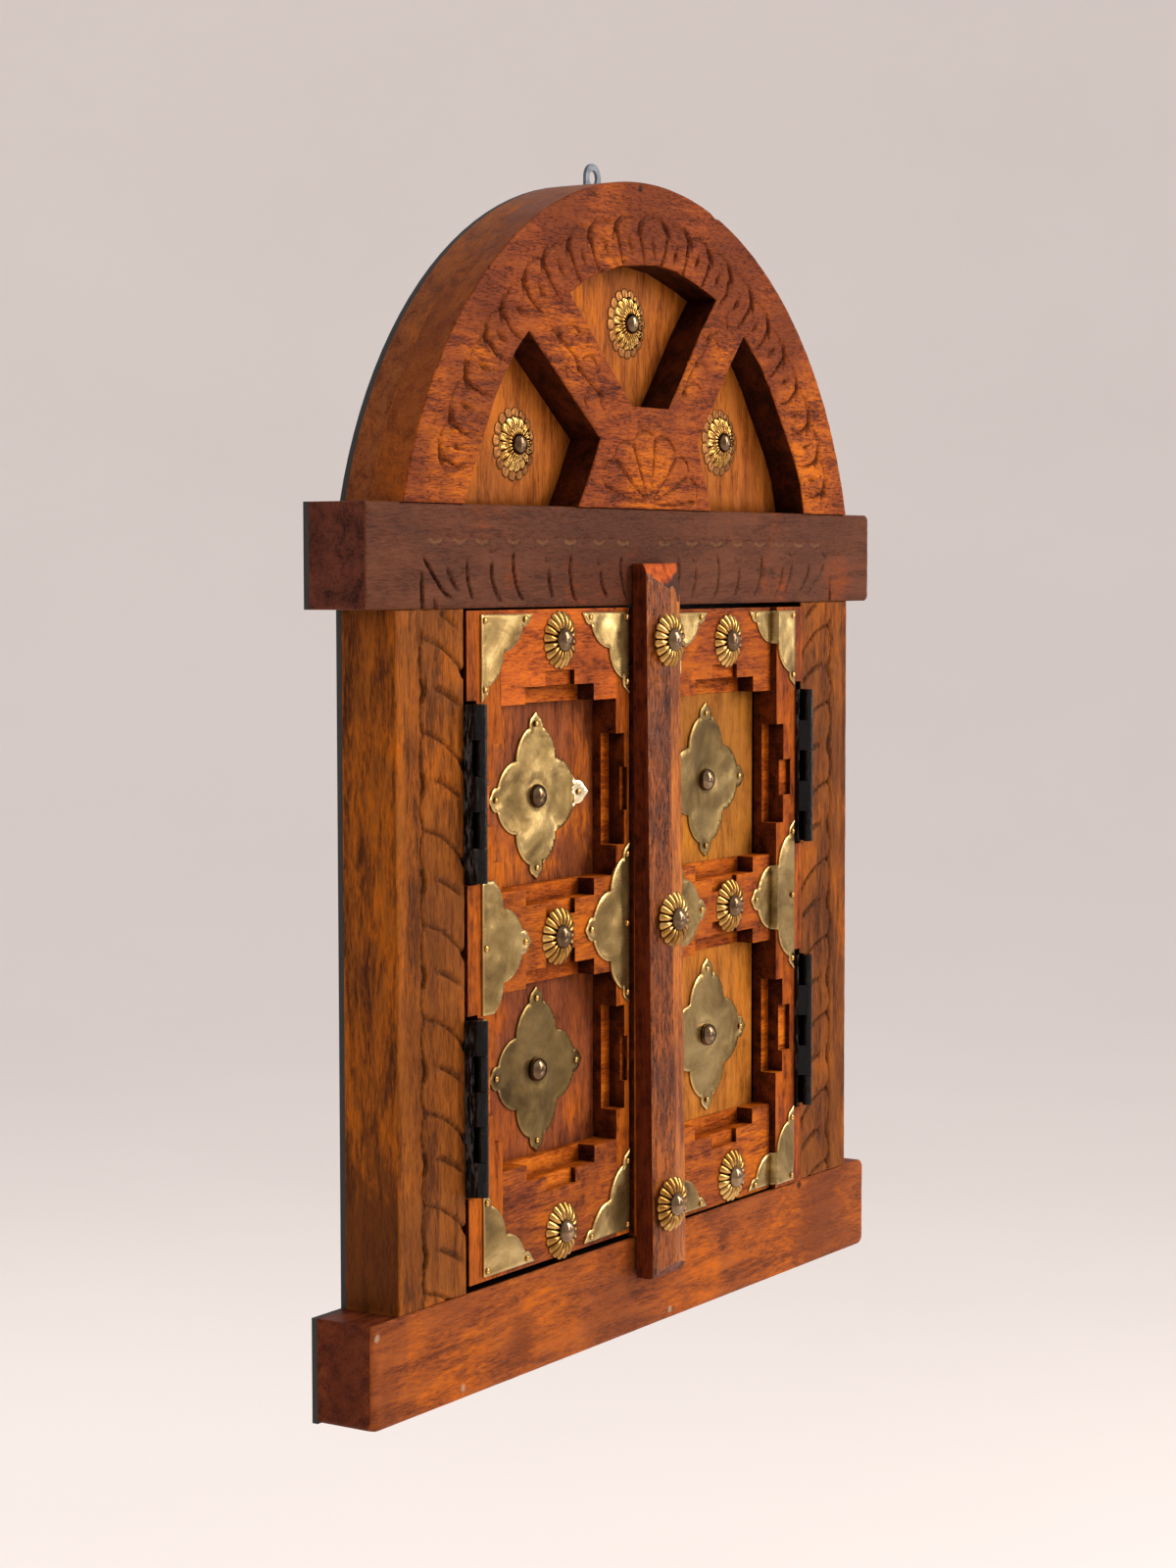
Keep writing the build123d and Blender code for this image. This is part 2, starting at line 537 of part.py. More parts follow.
# Cover strip on the meeting stile of the right leaf: upright sides under a low
# ridged front, bevelled at both ends, hung a little off plumb and a little
# thicker towards its lower end.
STRIP_W = 27.6
STRIP_XM = 1.0
STRIP_TOP, STRIP_BOT = -24.0, -341.4
STRIP_SIDE, STRIP_RIDGE = 7.2, 10.8
STRIP_LEAN = 0.58
STRIP_TAPER = 0.29
yb = R_FRONT
zc = (STRIP_TOP + STRIP_BOT) / 2
half_w = STRIP_W / 2
section = [(-half_w, yb + 6), (-half_w, yb - STRIP_SIDE), (-0.6, yb - STRIP_RIDGE), (half_w, yb - STRIP_SIDE + 0.2),
           (half_w, yb + 6)]
strip = extrude(Pos(0, 0, STRIP_BOT) * poly(section), amount=STRIP_TOP - STRIP_BOT)
if strip.bounding_box().min.Z < STRIP_BOT - 0.01:
    strip = Pos(0, 0, STRIP_TOP - STRIP_BOT) * strip
# bevels across both ends
side_plane = Plane(origin=(-40, 0, 0), x_dir=(0, 1, 0), z_dir=(1, 0, 0))
top_bevel = extrude(side_plane * poly([(yb - 5.7, STRIP_TOP + 0.1), (yb - 10.9, STRIP_TOP - 11.5),
                                       (yb - 30, STRIP_TOP - 11.5), (yb - 30, STRIP_TOP + 0.1)]), amount=80)
bot_bevel = extrude(side_plane * poly([(yb - 6.6, STRIP_BOT - 0.1), (yb - 10.9, STRIP_BOT + 6.0),
                                       (yb - 30, STRIP_BOT + 6.0), (yb - 30, STRIP_BOT - 0.1)]), amount=80)
strip = cut(strip, [top_bevel, bot_bevel])
strip = Pos(STRIP_XM, yb, STRIP_TOP) * Rot(STRIP_TAPER, 0, 0) * Pos(0, -yb, -STRIP_TOP) * strip
strip = Pos(STRIP_XM, 0, zc) * Rot(0, -STRIP_LEAN, 0) * Pos(-STRIP_XM, 0, -zc) * strip
strip = cut(strip, [box(-60, 60, yb, yb + 30, STRIP_BOT - 20, STRIP_TOP + 20)])

strip_rosettes = [(0.5, -57.5), (3.2, -181.5), (0.6, -309.0)]
strip_ros, strip_nails, strip_holes, stile_holes = [], [], [], []
for x, z in strip_rosettes:
    # small flat cut on the ridge under each rosette
    seat = yb - STRIP_RIDGE + 1.2 - (STRIP_TOP - z) * math.tan(math.radians(STRIP_TAPER))
    strip_ros.append(rosette(x, z, seat, 12.2, 18, 2.2))
    strip_nails.append(dome_nail(x, z, seat - 2.2, 4.7, 3.4, 16.5))
    strip_holes.append(nail_hole(x, z, seat - 2.2, 16.5))
    stile_holes.append(nail_hole(x, z, seat - 2.2, 16.5))
    strip_holes.append(cyl_y(x, z, 12.6, seat, seat - 10))
strip = cut(strip, strip_holes)
keep("right_leaf_cover_strip", strip)
keep("cover_strip_rosettes", strip_ros)

right["extra_cut"] = stile_holes
fit_leaf(
    "right", right,
    quatre=[(68.0, -124.0), (69.5, -243.5)],
    corners=[(131.0, -46.2, -1, -1, 114.5, 1), (16.8, -46.2, 1, -1, 25.5, -1),
             (131.0, -321.0, -1, 1, 114.5, 1), (16.8, -321.0, 1, 1, 25.5, -1)],
    halves=[("hinge_side", 131.0, -182.5, -1, 50.0, 114.5, 1), ("meeting_side", 18.0, -182.5, 1, 50.0, 25.5, -1)],
    rosettes=[(74.0, -59.5), (76.0, -183.0), (78.0, -311.0)],
    extra_nails=strip_nails)

# ---------------------------------------------------------------------- write
for name, shape in NODES.items():
    export_step(shape, f"parts/{name}.step")
print(len(NODES), "nodes")
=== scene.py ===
import json
import math
import random

import bmesh
import bpy
import numpy as np
from mathutils import Matrix, Vector
from mathutils.geometry import delaunay_2d_cdt

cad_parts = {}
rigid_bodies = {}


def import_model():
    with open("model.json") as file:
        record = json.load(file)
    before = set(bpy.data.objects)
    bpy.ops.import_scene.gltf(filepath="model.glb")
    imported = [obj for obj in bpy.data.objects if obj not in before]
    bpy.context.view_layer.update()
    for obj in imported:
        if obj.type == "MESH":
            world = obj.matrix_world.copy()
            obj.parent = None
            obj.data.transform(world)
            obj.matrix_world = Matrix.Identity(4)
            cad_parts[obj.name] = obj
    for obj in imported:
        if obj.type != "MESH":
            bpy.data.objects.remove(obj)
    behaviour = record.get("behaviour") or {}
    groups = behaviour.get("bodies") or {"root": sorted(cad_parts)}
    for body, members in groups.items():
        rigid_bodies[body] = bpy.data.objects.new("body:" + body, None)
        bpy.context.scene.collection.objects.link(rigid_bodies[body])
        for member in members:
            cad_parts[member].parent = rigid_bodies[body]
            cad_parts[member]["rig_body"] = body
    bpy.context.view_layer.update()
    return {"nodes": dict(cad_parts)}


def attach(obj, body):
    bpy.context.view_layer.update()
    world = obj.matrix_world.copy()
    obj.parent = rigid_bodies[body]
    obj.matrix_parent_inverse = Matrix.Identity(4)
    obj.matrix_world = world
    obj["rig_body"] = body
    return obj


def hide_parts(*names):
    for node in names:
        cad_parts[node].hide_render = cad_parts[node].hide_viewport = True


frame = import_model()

# A carved wooden window with brass fittings. Lengths below are in millimetres
# and are turned into metres where a mesh is made. X right, Y into the wall, Z up.
MM = 0.001
rng = np.random.RandomState(11)
NODES = frame["nodes"]

# ------------------------------------------------------------------ materials


class Nodes:
    """Small helper for building a shader tree."""

    def __init__(self, name):
        self.mat = bpy.data.materials.new(name)
        self.mat.use_nodes = True
        self.nt = self.mat.node_tree
        self.nt.nodes.clear()
        self.out = self.nt.nodes.new("ShaderNodeOutputMaterial")
        self.bsdf = self.nt.nodes.new("ShaderNodeBsdfPrincipled")
        self.link(self.bsdf.outputs[0], self.out.inputs[0])

    def link(self, a, b):
        self.nt.links.new(a, b)

    def new(self, kind, **props):
        n = self.nt.nodes.new(kind)
        for k, v in props.items():
            setattr(n, k, v)
        return n

    def coords(self, scale, offset=(0, 0, 0), rot=(0, 0, 0)):
        tc = self.new("ShaderNodeTexCoord")
        mp = self.new("ShaderNodeMapping")
        mp.inputs["Location"].default_value = offset
        mp.inputs["Rotation"].default_value = rot
        mp.inputs["Scale"].default_value = scale
        self.link(tc.outputs["Object"], mp.inputs["Vector"])
        return mp.outputs["Vector"]

    def noise(self, vec, scale=1.0, detail=4.0, rough=0.55, distortion=0.0):
        n = self.new("ShaderNodeTexNoise")
        n.inputs["Scale"].default_value = scale
        n.inputs["Detail"].default_value = detail
        n.inputs["Roughness"].default_value = rough
        n.inputs["Distortion"].default_value = distortion
        self.link(vec, n.inputs["Vector"])
        return n.outputs[0]

    def ramp(self, fac, stops, mode="LINEAR"):
        r = self.new("ShaderNodeValToRGB")
        r.color_ramp.interpolation = mode
        e = r.color_ramp.elements
        while len(e) > 1:
            e.remove(e[0])
        e[0].position = stops[0][0]
        e[0].color = tuple(stops[0][1]) + (1,)
        for pos, col in stops[1:]:
            x = e.new(pos)
            x.color = tuple(col) + (1,)
        self.link(fac, r.inputs[0])
        return r.outputs[0]

    def span(self, fac, lo, hi, a=0.0, b=1.0):
        m = self.new("ShaderNodeMapRange")
        m.inputs["From Min"].default_value = lo
        m.inputs["From Max"].default_value = hi
        m.inputs["To Min"].default_value = a
        m.inputs["To Max"].default_value = b
        self.link(fac, m.inputs["Value"])
        return m.outputs[0]

    def math(self, op, a, b):
        m = self.new("ShaderNodeMath", operation=op)
        for i, v in enumerate((a, b)):
            if isinstance(v, (int, float)):
                m.inputs[i].default_value = v
            else:
                self.link(v, m.inputs[i])
        return m.outputs[0]

    def mix(self, fac, a, b, mode="MIX"):
        m = self.new("ShaderNodeMix", data_type="RGBA", blend_type=mode)
        m.clamp_factor = True
        if isinstance(fac, (int, float)):
            m.inputs[0].default_value = fac
        else:
            self.link(fac, m.inputs[0])
        for i, v in ((6, a), (7, b)):
            if isinstance(v, (tuple, list)):
                m.inputs[i].default_value = tuple(v) + (1,)
            else:
                self.link(v, m.inputs[i])
        return m.outputs[2]

    def bump(self, height, strength, distance, base=None):
        b = self.new("ShaderNodeBump")
        b.inputs["Strength"].default_value = strength
        b.inputs["Distance"].default_value = distance
        self.link(height, b.inputs["Height"])
        if base is not None:
            self.link(base, b.inputs["Normal"])
        return b.outputs[0]

    def set(self, **values):
        for k, v in values.items():
            s = self.bsdf.inputs[k.replace("_", " ")]
            if isinstance(v, (int, float, tuple)):
                s.default_value = v
            else:
                self.link(v, s)


WOODS = {}
AXIS_ALONG = {"x": (1, 0, 0), "z": (0, 0, 1)}


def srgb(r, g, b):
    def f(c):
        c = c / 255
        return c / 12.92 if c <= 0.04045 else ((c + 0.055) / 1.055) ** 2.4
    return (f(r), f(g), f(b))


def wood(key, along, dark, mid, light, glow, seed, gloss=0.42, coat=0.0, figure=1.0, patch=(0.50, 0.62), pores=1.0,
         relief=1.0, grime=0.5, slant=0.0, spec=0.06, contrast=1.0, spots=(), shade=(), flecks=(), holes=(), pale=None):
    """Varnished hardwood. along is the grain's axis; glow is the colour of the bright figured patches."""
    if key in WOODS:
        return WOODS[key]
    m = Nodes("wood_" + key)

    def sc(a, c):  # scale a along the grain, c across it, per metre
        return (a, c, c) if along == "x" else (c, c, a)

    off = (seed * 1.37, seed * 2.11, seed * 0.73)
    rot = (0, slant, 0)
    warp = m.noise(m.coords(sc(6, 14), off, rot), 1.0, 2.0, 0.5)
    base = m.coords(sc(20, 150), off, rot)
    add = m.new("ShaderNodeVectorMath", operation="ADD")
    cmb = m.new("ShaderNodeCombineXYZ")
    for i in range(3):
        m.link(m.math("MULTIPLY", warp, 2.2 * figure), cmb.inputs[i])
    m.link(base, add.inputs[0])
    m.link(cmb.outputs[0], add.inputs[1])
    bands = m.noise(add.outputs[0], 1.0, 5.0, 0.62, 0.5)
    fine = m.noise(m.coords(sc(130, 950), off, rot), 1.0, 4.0, 0.7, 0.4)
    figure_n = m.noise(m.coords(sc(60, 210), (off[1], off[2], off[0]), rot), 1.0, 4.0, 0.62, 1.6)
    large = m.noise(m.coords((15, 15, 15), (off[2], off[0], off[1])), 1.0, 3.0, 0.6, 0.6)
    tone = m.math("ADD", m.math("MULTIPLY", bands, 0.55), m.math("MULTIPLY", fine, 0.45))
    w_ = 0.095 / contrast
    col = m.ramp(tone, [(0.5 - w_, dark), (0.5 - w_ * 0.15, mid), (0.5 + w_ * 0.9, light)])
    def area(places, ragged=1.6):
        # soft-edged areas round places (x, z, radius), in millimetres
        flat = m.coords((1, 0, 1))
        total = None
        for x, z, r in places:
            d = m.new("ShaderNodeVectorMath", operation="DISTANCE")
            m.link(flat, d.inputs[0])
            d.inputs[1].default_value = (x * MM, 0, z * MM)
            e = m.math("ADD", d.outputs["Value"], m.math("MULTIPLY", m.math("SUBTRACT", figure_n, 0.5), r * MM * ragged))
            a = m.span(e, r * MM * 1.15, r * MM * 0.45)
            total = a if total is None else m.math("MAXIMUM", total, a)
        return total

    zone = m.span(large, patch[0], patch[1])
    if spots:
        zone = m.math("MAXIMUM", zone, area(spots))
    gl = m.math("MULTIPLY", zone, m.span(figure_n, 0.38, 0.58, 0.10, 1.0))
    col = m.mix(gl, col, m.mix(m.span(tone, 0.5 - w_, 0.5 + w_ * 0.5), mid, glow))
    low = m.span(large, 0.48, 0.34, 0.0, 0.55)
    if shade:
        low = m.math("MAXIMUM", low, m.math("MULTIPLY", area(shade), 0.75))
    col = m.mix(low, col, m.mix(0.35, dark, mid))
    # open pores: short dark dashes along the grain
    pore_n = m.noise(m.coords(sc(240, 1700), (off[0], off[2], off[1]), rot), 1.0, 2.0, 0.5)
    pore = m.math("MULTIPLY", m.span(pore_n, 0.56, 0.63, 0.0, 1.0), m.span(bands, 0.62, 0.40, 0.35, 1.0))
    col = m.mix(m.math("MULTIPLY", pore, 0.50 * pores), col, tuple(c * 0.45 for c in dark))
    # painted shade: darker in the hollows, by ambient occlusion, and in the knife cuts, by their depth
    ao = m.new("ShaderNodeAmbientOcclusion", samples=4)
    ao.inputs["Distance"].default_value = 0.009
    ao_shade_mask = m.span(ao.outputs["AO"], 0.86, 0.40, 0.0, 1.0)
    col = m.mix(m.math("MULTIPLY", ao_shade_mask, grime), col, tuple(c * 0.30 for c in dark))
    # painted shade in the knife cuts: the deeper the carved cut, the darker the wood
    cut = m.new("ShaderNodeAttribute", attribute_name="cut", attribute_type="GEOMETRY")
    col = m.mix(m.math("MULTIPLY", m.span(cut.outputs["Fac"], 0.25, 1.5, 0.0, 1.0), 0.72), col, tuple(c * 0.42 for c in dark))
    if pale is not None:
        chip = m.new("ShaderNodeAttribute", attribute_name="pale", attribute_type="GEOMETRY")
        amount = m.math("MULTIPLY", m.span(chip.outputs["Fac"], 0.15, 0.7), m.span(fine, 0.35, 0.55, 0.55, 1.0))
        col = m.mix(m.math("MULTIPLY", amount, 0.55), col, pale)
    geo = m.new("ShaderNodeNewGeometry")
    worn = m.math("MULTIPLY", m.span(geo.outputs["Pointiness"], 0.53, 0.60, 0.0, 0.45),
                  m.span(m.noise(m.coords((160, 160, 160), off), 1.0, 2.0), 0.40, 0.62))
    col = m.mix(worn, col, tuple(min(1.0, c * 1.25) for c in light))
    if flecks:
        col = m.mix(m.math("MULTIPLY", area(flecks, 1.2), 0.62), col, srgb(176, 158, 132))
    if holes:
        col = m.mix(m.math("MULTIPLY", area(holes, 0.5), 0.85), col, srgb(24, 12, 8))
    m.link(col, m.bsdf.inputs["Base Color"])
    rough = m.span(m.math("ADD", m.math("MULTIPLY", fine, 0.5), m.math("MULTIPLY", large, 0.5)), 0.3, 0.7,
                   gloss - 0.10, gloss + 0.16)
    m.link(rough, m.bsdf.inputs["Roughness"])
    m.set(Specular_IOR_Level=spec)
    if coat:
        m.set(Coat_Weight=coat, Coat_Roughness=0.10, Coat_IOR=1.5)
    h = m.math("ADD", m.math("MULTIPLY", fine, 0.6), m.math("MULTIPLY", bands, 0.4))
    b1 = m.bump(h, 0.65 * relief, 0.0006)
    b2 = m.bump(m.math("SUBTRACT", 1.0, pore), 0.6 * relief, 0.0004, b1)
    waves = m.noise(m.coords((60, 60, 60), off), 1.0, 2.0)
    b3 = m.bump(waves, 0.20 * relief, 0.002, b2)
    m.link(b3, m.bsdf.inputs["Normal"])
    if coat:
        m.link(b3, m.bsdf.inputs["Coat Normal"])
    WOODS[key] = m.mat
    return m.mat


def red_wood(seed, along="x", **kw):
    args = dict(dark=srgb(82, 33, 8), mid=srgb(136, 62, 14), light=srgb(166, 84, 18), glow=srgb(206, 108, 8))
    args.update(kw)
    return wood(f"red_{along}_{seed}", along, seed=seed, **args)


def tan_wood(seed, along="z", **kw):
    args = dict(dark=srgb(124, 68, 26), mid=srgb(160, 94, 40), light=srgb(180, 112, 52), glow=srgb(204, 108, 8), pores=0.40,
                grime=0.55)
    args.update(kw)
    return wood(f"tan_{along}_{seed}", along, seed=seed, **args)


def dark_wood(seed, along="x", **kw):
    args = dict(dark=srgb(60, 30, 18), mid=srgb(90, 48, 28), light=srgb(106, 58, 34), glow=srgb(134, 60, 18), patch=(0.54, 0.70),
                pores=0.8)
    args.update(kw)
    return wood(f"dark_{along}_{seed}", along, seed=seed, **args)


def brass(key, bright, dull, tarnish, seed, rough=0.24, spots=0.6, wave=1.0, brush=0.5, valley_shade=0.65):
    m = Nodes("brass_" + key)
    off = (seed * 3.1, seed * 1.7, seed * 0.9)
    cloud = m.noise(m.coords((42, 42, 42), off), 1.0, 5.0, 0.62, 0.8)
    speck = m.noise(m.coords((900, 900, 900), off), 1.0, 3.0, 0.7)
    smear = m.noise(m.coords((26, 26, 44), (off[1], off[0], off[2])), 1.0, 3.0, 0.55, 1.2)
    t = m.math("ADD", m.math("MULTIPLY", cloud, 0.6), m.math("MULTIPLY", smear, 0.4))
    col = m.ramp(t, [(0.34, tarnish), (0.47, dull), (0.62, bright)])
    dots = m.math("MULTIPLY", m.span(speck, 0.60, 0.70), m.span(cloud, 0.62, 0.38, 0.2, 1.0))
    col = m.mix(m.math("MULTIPLY", dots, spots), col, tuple(c * 0.4 for c in tarnish))
    # painted shade in the hollows: darker, towards a deep tarnish colour, where ambient occlusion is high
    ao = m.new("ShaderNodeAmbientOcclusion", samples=4)
    ao.inputs["Distance"].default_value = 0.0018
    col = m.mix(m.span(ao.outputs["AO"], 0.85, 0.35, 0.0, valley_shade), col, tuple(c * 0.22 for c in tarnish))
    geo = m.new("ShaderNodeNewGeometry")
    col = m.mix(m.span(geo.outputs["Pointiness"], 0.52, 0.58, 0.0, 0.8), col, tuple(min(1, c * 1.15) for c in bright))
    m.link(col, m.bsdf.inputs["Base Color"])
    m.link(m.span(t, 0.34, 0.66, rough + 0.20, rough - 0.04), m.bsdf.inputs["Roughness"])
    m.set(Metallic=1.0)
    b1 = m.bump(m.noise(m.coords((38, 38, 38), off), 1.0, 2.0), 0.30 * wave, 0.004)
    b2 = m.bump(speck, 0.10 * brush, 0.0002, b1)
    m.link(b2, m.bsdf.inputs["Normal"])
    return m.mat


def black_metal(key, seed):
    m = Nodes("black_" + key)
    off = (seed, seed * 2, seed * 3)
    n = m.noise(m.coords((120, 120, 60), off), 1.0, 4.0, 0.6)
    scratch = m.noise(m.coords((700, 700, 160), off), 1.0, 3.0, 0.6)
    geo = m.new("ShaderNodeNewGeometry")
    worn = m.math("MULTIPLY", m.span(geo.outputs["Pointiness"], 0.54, 0.62), m.span(scratch, 0.48, 0.62))
    col = m.ramp(n, [(0.35, (0.002, 0.002, 0.002)), (0.65, (0.005, 0.0045, 0.004))])
    col = m.mix(m.math("MULTIPLY", worn, 0.5), col, (0.14, 0.12, 0.11))
    m.link(col, m.bsdf.inputs["Base Color"])
    m.link(m.span(scratch, 0.3, 0.7, 0.06, 0.22), m.bsdf.inputs["Roughness"])
    m.set(Specular_IOR_Level=0.22)
    m.link(m.bump(m.math("ADD", n, scratch), 0.35, 0.0004), m.bsdf.inputs["Normal"])
    return m.mat


def matt_black(key):
    m = Nodes("sheet_" + key)
    n = m.noise(m.coords((60, 60, 60)), 1.0, 5.0, 0.65)
    f = m.noise(m.coords((1400, 1400, 1400)), 1.0, 2.0, 0.5)
    m.link(m.ramp(n, [(0.3, (0.010, 0.010, 0.010)), (0.7, (0.026, 0.024, 0.022))]), m.bsdf.inputs["Base Color"])
    m.link(m.span(n, 0.3, 0.7, 0.55, 0.80), m.bsdf.inputs["Roughness"])
    m.link(m.bump(m.math("ADD", m.math("MULTIPLY", n, 0.5), f), 0.35, 0.0003), m.bsdf.inputs["Normal"])
    return m.mat


def steel(key, col):
    m = Nodes("steel_" + key)
    n = m.noise(m.coords((300, 300, 300)), 1.0, 4.0, 0.6)
    m.link(m.ramp(n, [(0.35, tuple(c * 0.55 for c in col)), (0.62, col)]), m.bsdf.inputs["Base Color"])
    m.link(m.span(n, 0.3, 0.7, 0.28, 0.5), m.bsdf.inputs["Roughness"])
    m.set(Metallic=1.0)
    m.link(m.bump(n, 0.2, 0.0003), m.bsdf.inputs["Normal"])
    return m.mat


BRIGHT = brass("rosette", srgb(212, 168, 98), srgb(166, 118, 54), srgb(84, 50, 16), 2, rough=0.12, spots=0.25, wave=0.2, valley_shade=0.9)
RING = brass("ring", srgb(152, 104, 56), srgb(122, 78, 40), srgb(88, 52, 24), 12, rough=0.30, spots=0.5, wave=0.3)
PLATE = brass("plate", srgb(192, 164, 108), srgb(142, 116, 68), srgb(88, 68, 36), 5, rough=0.20, spots=0.9, wave=1.0)
PLATE_DULL = brass("plate_dull", srgb(140, 116, 70), srgb(106, 84, 46), srgb(66, 50, 26), 9, rough=0.26, spots=1.0, wave=1.0)
NAIL = brass("nail", srgb(150, 124, 96), srgb(102, 80, 58), srgb(52, 36, 22), 3, rough=0.10, spots=0.5, wave=0.2, valley_shade=0.9)
# a near-white copy of the plate brass: painted highlight for the bent finial that catches the light
TIP_HIGHLIGHT = brass("pale", srgb(246, 232, 196), srgb(226, 204, 160), srgb(176, 148, 100), 15, rough=0.22, spots=0.2, wave=0.3)
HINGE = black_metal("hinge", 4)
SHEET = matt_black("back")
ZINC = steel("hanger", (0.16, 0.18, 0.21))
SCREW = steel("screw", (0.10, 0.08, 0.07))


# -------------------------------------------------------------------- carving


class Carving:
    """Cuts in a face, drawn in X and Z. Each is a polyline with a width and depth at every point."""

    def __init__(self):
        self.strokes = []

    def cut(self, pts, width, depth, skew=0.0, taper=True, round_=False):
        pts = np.array(pts, float)
        n = len(pts)
        at = np.linspace(0, 1, n)
        w = np.full(n, float(width)) if np.isscalar(width) else np.interp(at, np.linspace(0, 1, len(width)), width)
        d = np.full(n, float(depth)) if np.isscalar(depth) else np.interp(at, np.linspace(0, 1, len(depth)), depth)
        if taper:
            seg = np.r_[0, np.cumsum(np.linalg.norm(np.diff(pts, axis=0), axis=1))]
            t = seg / max(seg[-1], 1e-6)
            f = np.clip(np.minimum(t, 1 - t) / 0.18, 0.25, 1.0)
            w, d = w * f, d * f
        self.strokes.append((pts, w, d, skew, round_))

    def depth(self, P):
        h = np.zeros(len(P))
        for pts, w, d, skew, round_ in self.strokes:
            reach = w.max() * 1.6
            lo, hi = pts.min(0) - reach, pts.max(0) + reach
            idx = np.where((P[:, 0] > lo[0]) & (P[:, 0] < hi[0]) & (P[:, 1] > lo[1]) & (P[:, 1] < hi[1]))[0]
            if not len(idx):
                continue
            q = P[idx]
            best = np.zeros(len(q))
            for i in range(len(pts) - 1):
                a, b = pts[i], pts[i + 1]
                ab = b - a
                L2 = max(ab @ ab, 1e-9)
                t = np.clip(((q - a) @ ab) / L2, 0, 1)
                near = a + t[:, None] * ab
                off = q - near
                dist = np.linalg.norm(off, axis=1)
                side = np.sign(ab[0] * off[:, 1] - ab[1] * off[:, 0])
                wt = (w[i] + (w[i + 1] - w[i]) * t) / 2
                dt = d[i] + (d[i + 1] - d[i]) * t
                u = dist / np.maximum(wt * (1 + skew * side), 1e-6)
                prof = np.clip(1 - u * u, 0, 1) if round_ else np.clip(1 - u, 0, 1) ** 0.85
                best = np.maximum(best, dt * prof)
            h[idx] = np.maximum(h[idx], best)
        return h


def smooth_line(pts, n=6):
    """Catmull-Rom points through pts."""
    p = np.array(pts, float)
    p = np.vstack([2 * p[0] - p[1], p, 2 * p[-1] - p[-2]])
    out = []
    for i in range(1, len(p) - 2):
        for k in range(n):
            t = k / n
            a, b, c, d = p[i - 1], p[i], p[i + 1], p[i + 2]
            out.append(0.5 * ((2 * b) + (c - a) * t + (2 * a - 5 * b + 4 * c - d) * t * t + (3 * b - a - 3 * c + d) * t ** 3))
    out.append(p[-2])
    return np.array(out)


def value_noise(P, scale, seed):
    """Smooth noise in two dimensions, about -1 to 1."""
    r = np.random.RandomState(seed)
    table = r.rand(64, 64) * 2 - 1
    q = P * scale + 1000.0
    i = np.floor(q).astype(int)
    f = q - i
    f = f * f * (3 - 2 * f)
    x0, y0 = i[:, 0] % 64, i[:, 1] % 64
    x1, y1 = (x0 + 1) % 64, (y0 + 1) % 64
    return (table[x0, y0] * (1 - f[:, 0]) * (1 - f[:, 1]) + table[x1, y0] * f[:, 0] * (1 - f[:, 1])
            + table[x0, y1] * (1 - f[:, 0]) * f[:, 1] + table[x1, y1] * f[:, 0] * f[:, 1])


# --------------------------------------------------------------- mesh builders


def make(name, verts, faces, body, mats, replaces=(), slot=None, flat_angle=None, face_mats=None, cut=None, pale=None, groups=None):
    """A mesh object from millimetre points."""
    me = bpy.data.meshes.new(name)
    me.from_pydata([tuple(v) for v in np.asarray(verts, float) * MM], [], [tuple(int(i) for i in f) for f in faces])
    me.validate()
    ob = bpy.data.objects.new(name, me)
    bpy.context.scene.collection.objects.link(ob)
    for m in (mats if isinstance(mats, (list, tuple)) else [mats]):
        me.materials.append(m)
    if face_mats is not None:
        me.polygons.foreach_set("material_index", np.array(face_mats, np.int32))
    bm = bmesh.new()
    bm.from_mesh(me)
    bmesh.ops.recalc_face_normals(bm, faces=bm.faces)
    if flat_angle is not None:
        for e in bm.edges:
            if len(e.link_faces) == 2 and e.calc_face_angle(0) > math.radians(flat_angle):
                e.smooth = False
    if groups is not None:
        bm.faces.index_update()
        for e in bm.edges:
            if len(e.link_faces) == 2:
                a, b = (groups[f.index] for f in e.link_faces)
                if a != b and 2 in (a, b):
                    e.smooth = False
    for f in bm.faces:
        f.smooth = True
    bm.to_mesh(me)
    bm.free()
    for label, values in (("cut", cut), ("pale", pale)):
        if values is not None:
            at = me.attributes.new(label, "FLOAT", "POINT")
            at.data.foreach_set("value", np.array(values, np.float32))
    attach(ob, body)
    if replaces:
        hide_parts(*replaces)
    return ob


def resample(loop, step):
    """Points along a closed loop no more than step apart, its corners kept."""
    out = []
    n = len(loop)
    for i in range(n):
        a, b = np.array(loop[i], float), np.array(loop[(i + 1) % n], float)
        k = max(1, int(math.ceil(np.linalg.norm(b - a) / step)))
        for j in range(k):
            out.append(a + (b - a) * j / k)
    return np.array(out)


def inside(P, loop):
    """Which points are inside a closed loop."""
    x, y = P[:, 0], P[:, 1]
    hit = np.zeros(len(P), bool)
    n = len(loop)
    for i in range(n):
        x0, y0 = loop[i]
        x1, y1 = loop[(i + 1) % n]
        if y0 == y1:
            continue
        c = ((y0 > y) != (y1 > y)) & (x < (x1 - x0) * (y - y0) / (y1 - y0) + x0)
        hit ^= c
    return hit


def edge_distance(P, loops):
    d = np.full(len(P), 1e9)
    for loop in loops:
        a = loop
        b = np.roll(loop, -1, axis=0)
        for i in range(len(a)):
            lo, hi = np.minimum(a[i], b[i]) - 3, np.maximum(a[i], b[i]) + 3
            idx = np.where((P[:, 0] > lo[0]) & (P[:, 0] < hi[0]) & (P[:, 1] > lo[1]) & (P[:, 1] < hi[1]))[0]
            if not len(idx):
                continue
            q = P[idx]
            ab = b[i] - a[i]
            t = np.clip(((q - a[i]) @ ab) / max(ab @ ab, 1e-9), 0, 1)
            d[idx] = np.minimum(d[idx], np.linalg.norm(q - a[i] - t[:, None] * ab, axis=1))
    return d


